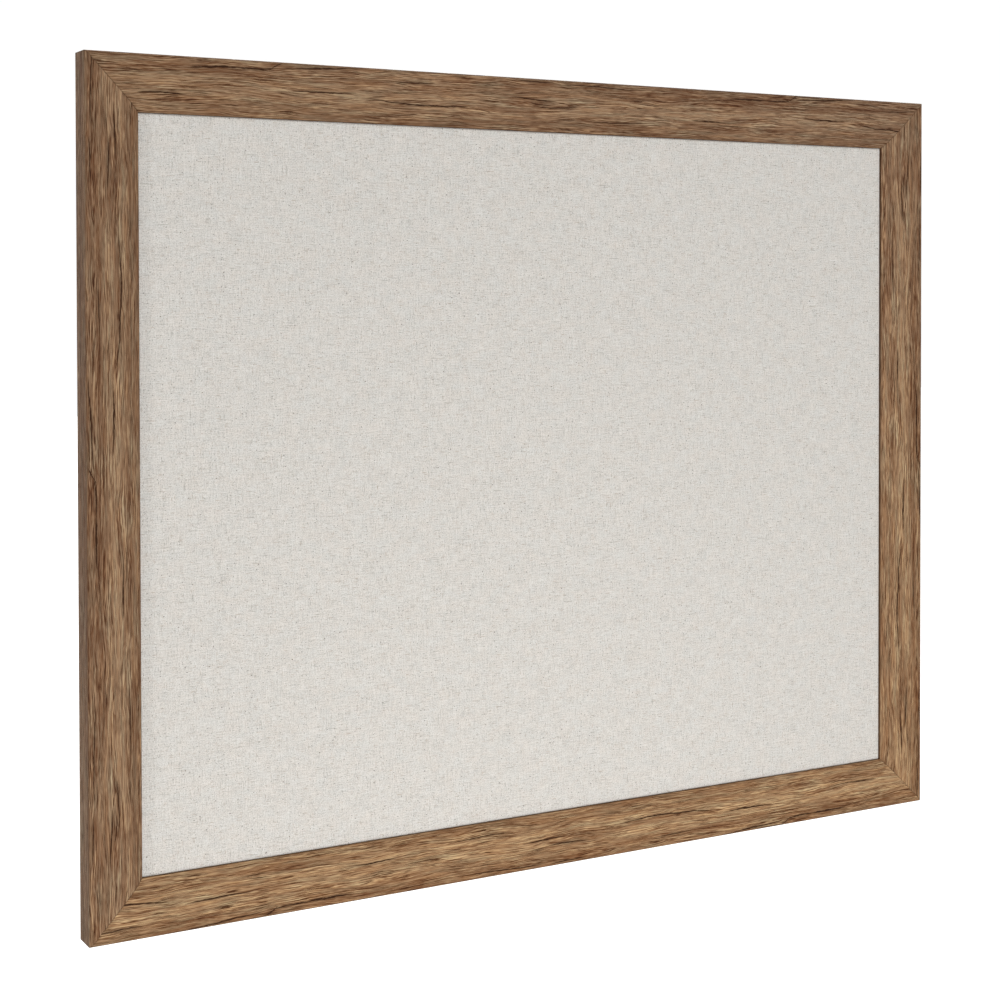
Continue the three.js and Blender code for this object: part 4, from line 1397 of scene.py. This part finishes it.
def studio_floor():
    """A pale floor well below the hung board. It shows the board's soft shadow, and turns to plain
    white further out, where the backdrop begins."""
    material, tree = new_finish("pale_studio_floor")
    place = add(tree, "ShaderNodeTexCoord").outputs["Object"]
    far = add(tree, "ShaderNodeVectorMath", {0: place}, operation="LENGTH").outputs["Value"]
    whiten = add(tree, "ShaderNodeMapRange", {
        "Value": far, "From Min": FLOOR_FADE[0], "From Max": FLOOR_FADE[1], "To Min": 0.36, "To Max": 1.0})
    glow = add(tree, "ShaderNodeMath", {0: seen_ray(tree), 1: whiten}, operation="MULTIPLY")
    shader = add(tree, "ShaderNodeBsdfPrincipled", {
        "Base Color": colour("#c2c2c0"), "Roughness": 0.9, "Emission Color": colour("#ffffff"),
        "Emission Strength": glow})
    add(tree, "ShaderNodeOutputMaterial", {"Surface": shader})
    mesh = bpy.data.meshes.new("floor")
    half = FLOOR_SIZE / 2
    corners = [(-half, -half, 0), (half, -half, 0), (half, half, 0), (-half, half, 0)]
    mesh.from_pydata(corners, [], [(0, 1, 2, 3)])
    mesh.transform(Matrix.Translation((0, 0, FLOOR_LEVEL)))
    mesh.materials.append(material)
    floor = put("floor", mesh)


def facing_middle(place):
    """The turn of a lamp that shines from its place to the board's middle."""
    return Vector(place).to_track_quat("Z", "Y").to_matrix().to_4x4()


def distant_lamp(name, place, level, spread, tint):
    """A wide soft light from far away, so that it falls evenly."""
    data = bpy.data.lights.new(name, "SUN")
    data.energy = level * math.pi
    data.angle = math.radians(spread)
    data.color = colour(tint)[:3]
    put(name, data).matrix_world = facing_middle(place)


def soft_box(name, place, size, watts, tint):
    """A rectangular soft light turned to the board's middle."""
    data = bpy.data.lights.new(name, "AREA")
    data.shape = "RECTANGLE"
    data.size, data.size_y = size
    data.energy = watts
    data.color = colour(tint)[:3]
    put(name, data).matrix_world = Matrix.Translation(place) @ facing_middle(place)


studio_world()
studio_floor()
distant_lamp("key", KEY_FROM, KEY_LEVEL, KEY_SPREAD, "#fffdfa")
distant_lamp("side", SIDE_FROM, SIDE_LEVEL, SIDE_SPREAD, "#fffdfa")
distant_lamp("back", BACK_FROM, BACK_LEVEL, BACK_SPREAD, "#ffffff")
soft_box("fill", FILL_PLACE, FILL_SIZE, FILL_POWER, "#fff9f2")
bpy.context.scene.view_settings.view_transform = "Standard"

# Camera, at the photograph's place and angle, with the lens raised a little as on a shift lens
CAMERA_PLACE = (-0.84711, -1.4192, 0.15602)
CAMERA_YAW = math.radians(29.611)
CAMERA_PITCH = math.radians(-1.0645)
CAMERA_ROLL = math.radians(-0.1003)
CAMERA_LENS = 67.271
CAMERA_FILM = 36
CAMERA_SHIFT = -0.17


def aim_camera():
    """Places the camera from its yaw to the right of +Y, its pitch above level and its roll."""
    forward = Vector((
        math.sin(CAMERA_YAW) * math.cos(CAMERA_PITCH),
        math.cos(CAMERA_YAW) * math.cos(CAMERA_PITCH),
        math.sin(CAMERA_PITCH)))
    level = Vector((math.cos(CAMERA_YAW), -math.sin(CAMERA_YAW), 0))
    upright = level.cross(forward)
    right = level * math.cos(CAMERA_ROLL) + upright * math.sin(CAMERA_ROLL)
    above = upright * math.cos(CAMERA_ROLL) - level * math.sin(CAMERA_ROLL)
    turned = Matrix((right, above, -forward)).transposed().to_4x4()
    data = bpy.data.cameras.new("camera")
    data.lens = CAMERA_LENS
    data.sensor_width = CAMERA_FILM
    data.shift_y = CAMERA_SHIFT
    camera = put("camera", data)
    camera.matrix_world = Matrix.Translation(CAMERA_PLACE) @ turned
    bpy.context.scene.camera = camera


aim_camera()
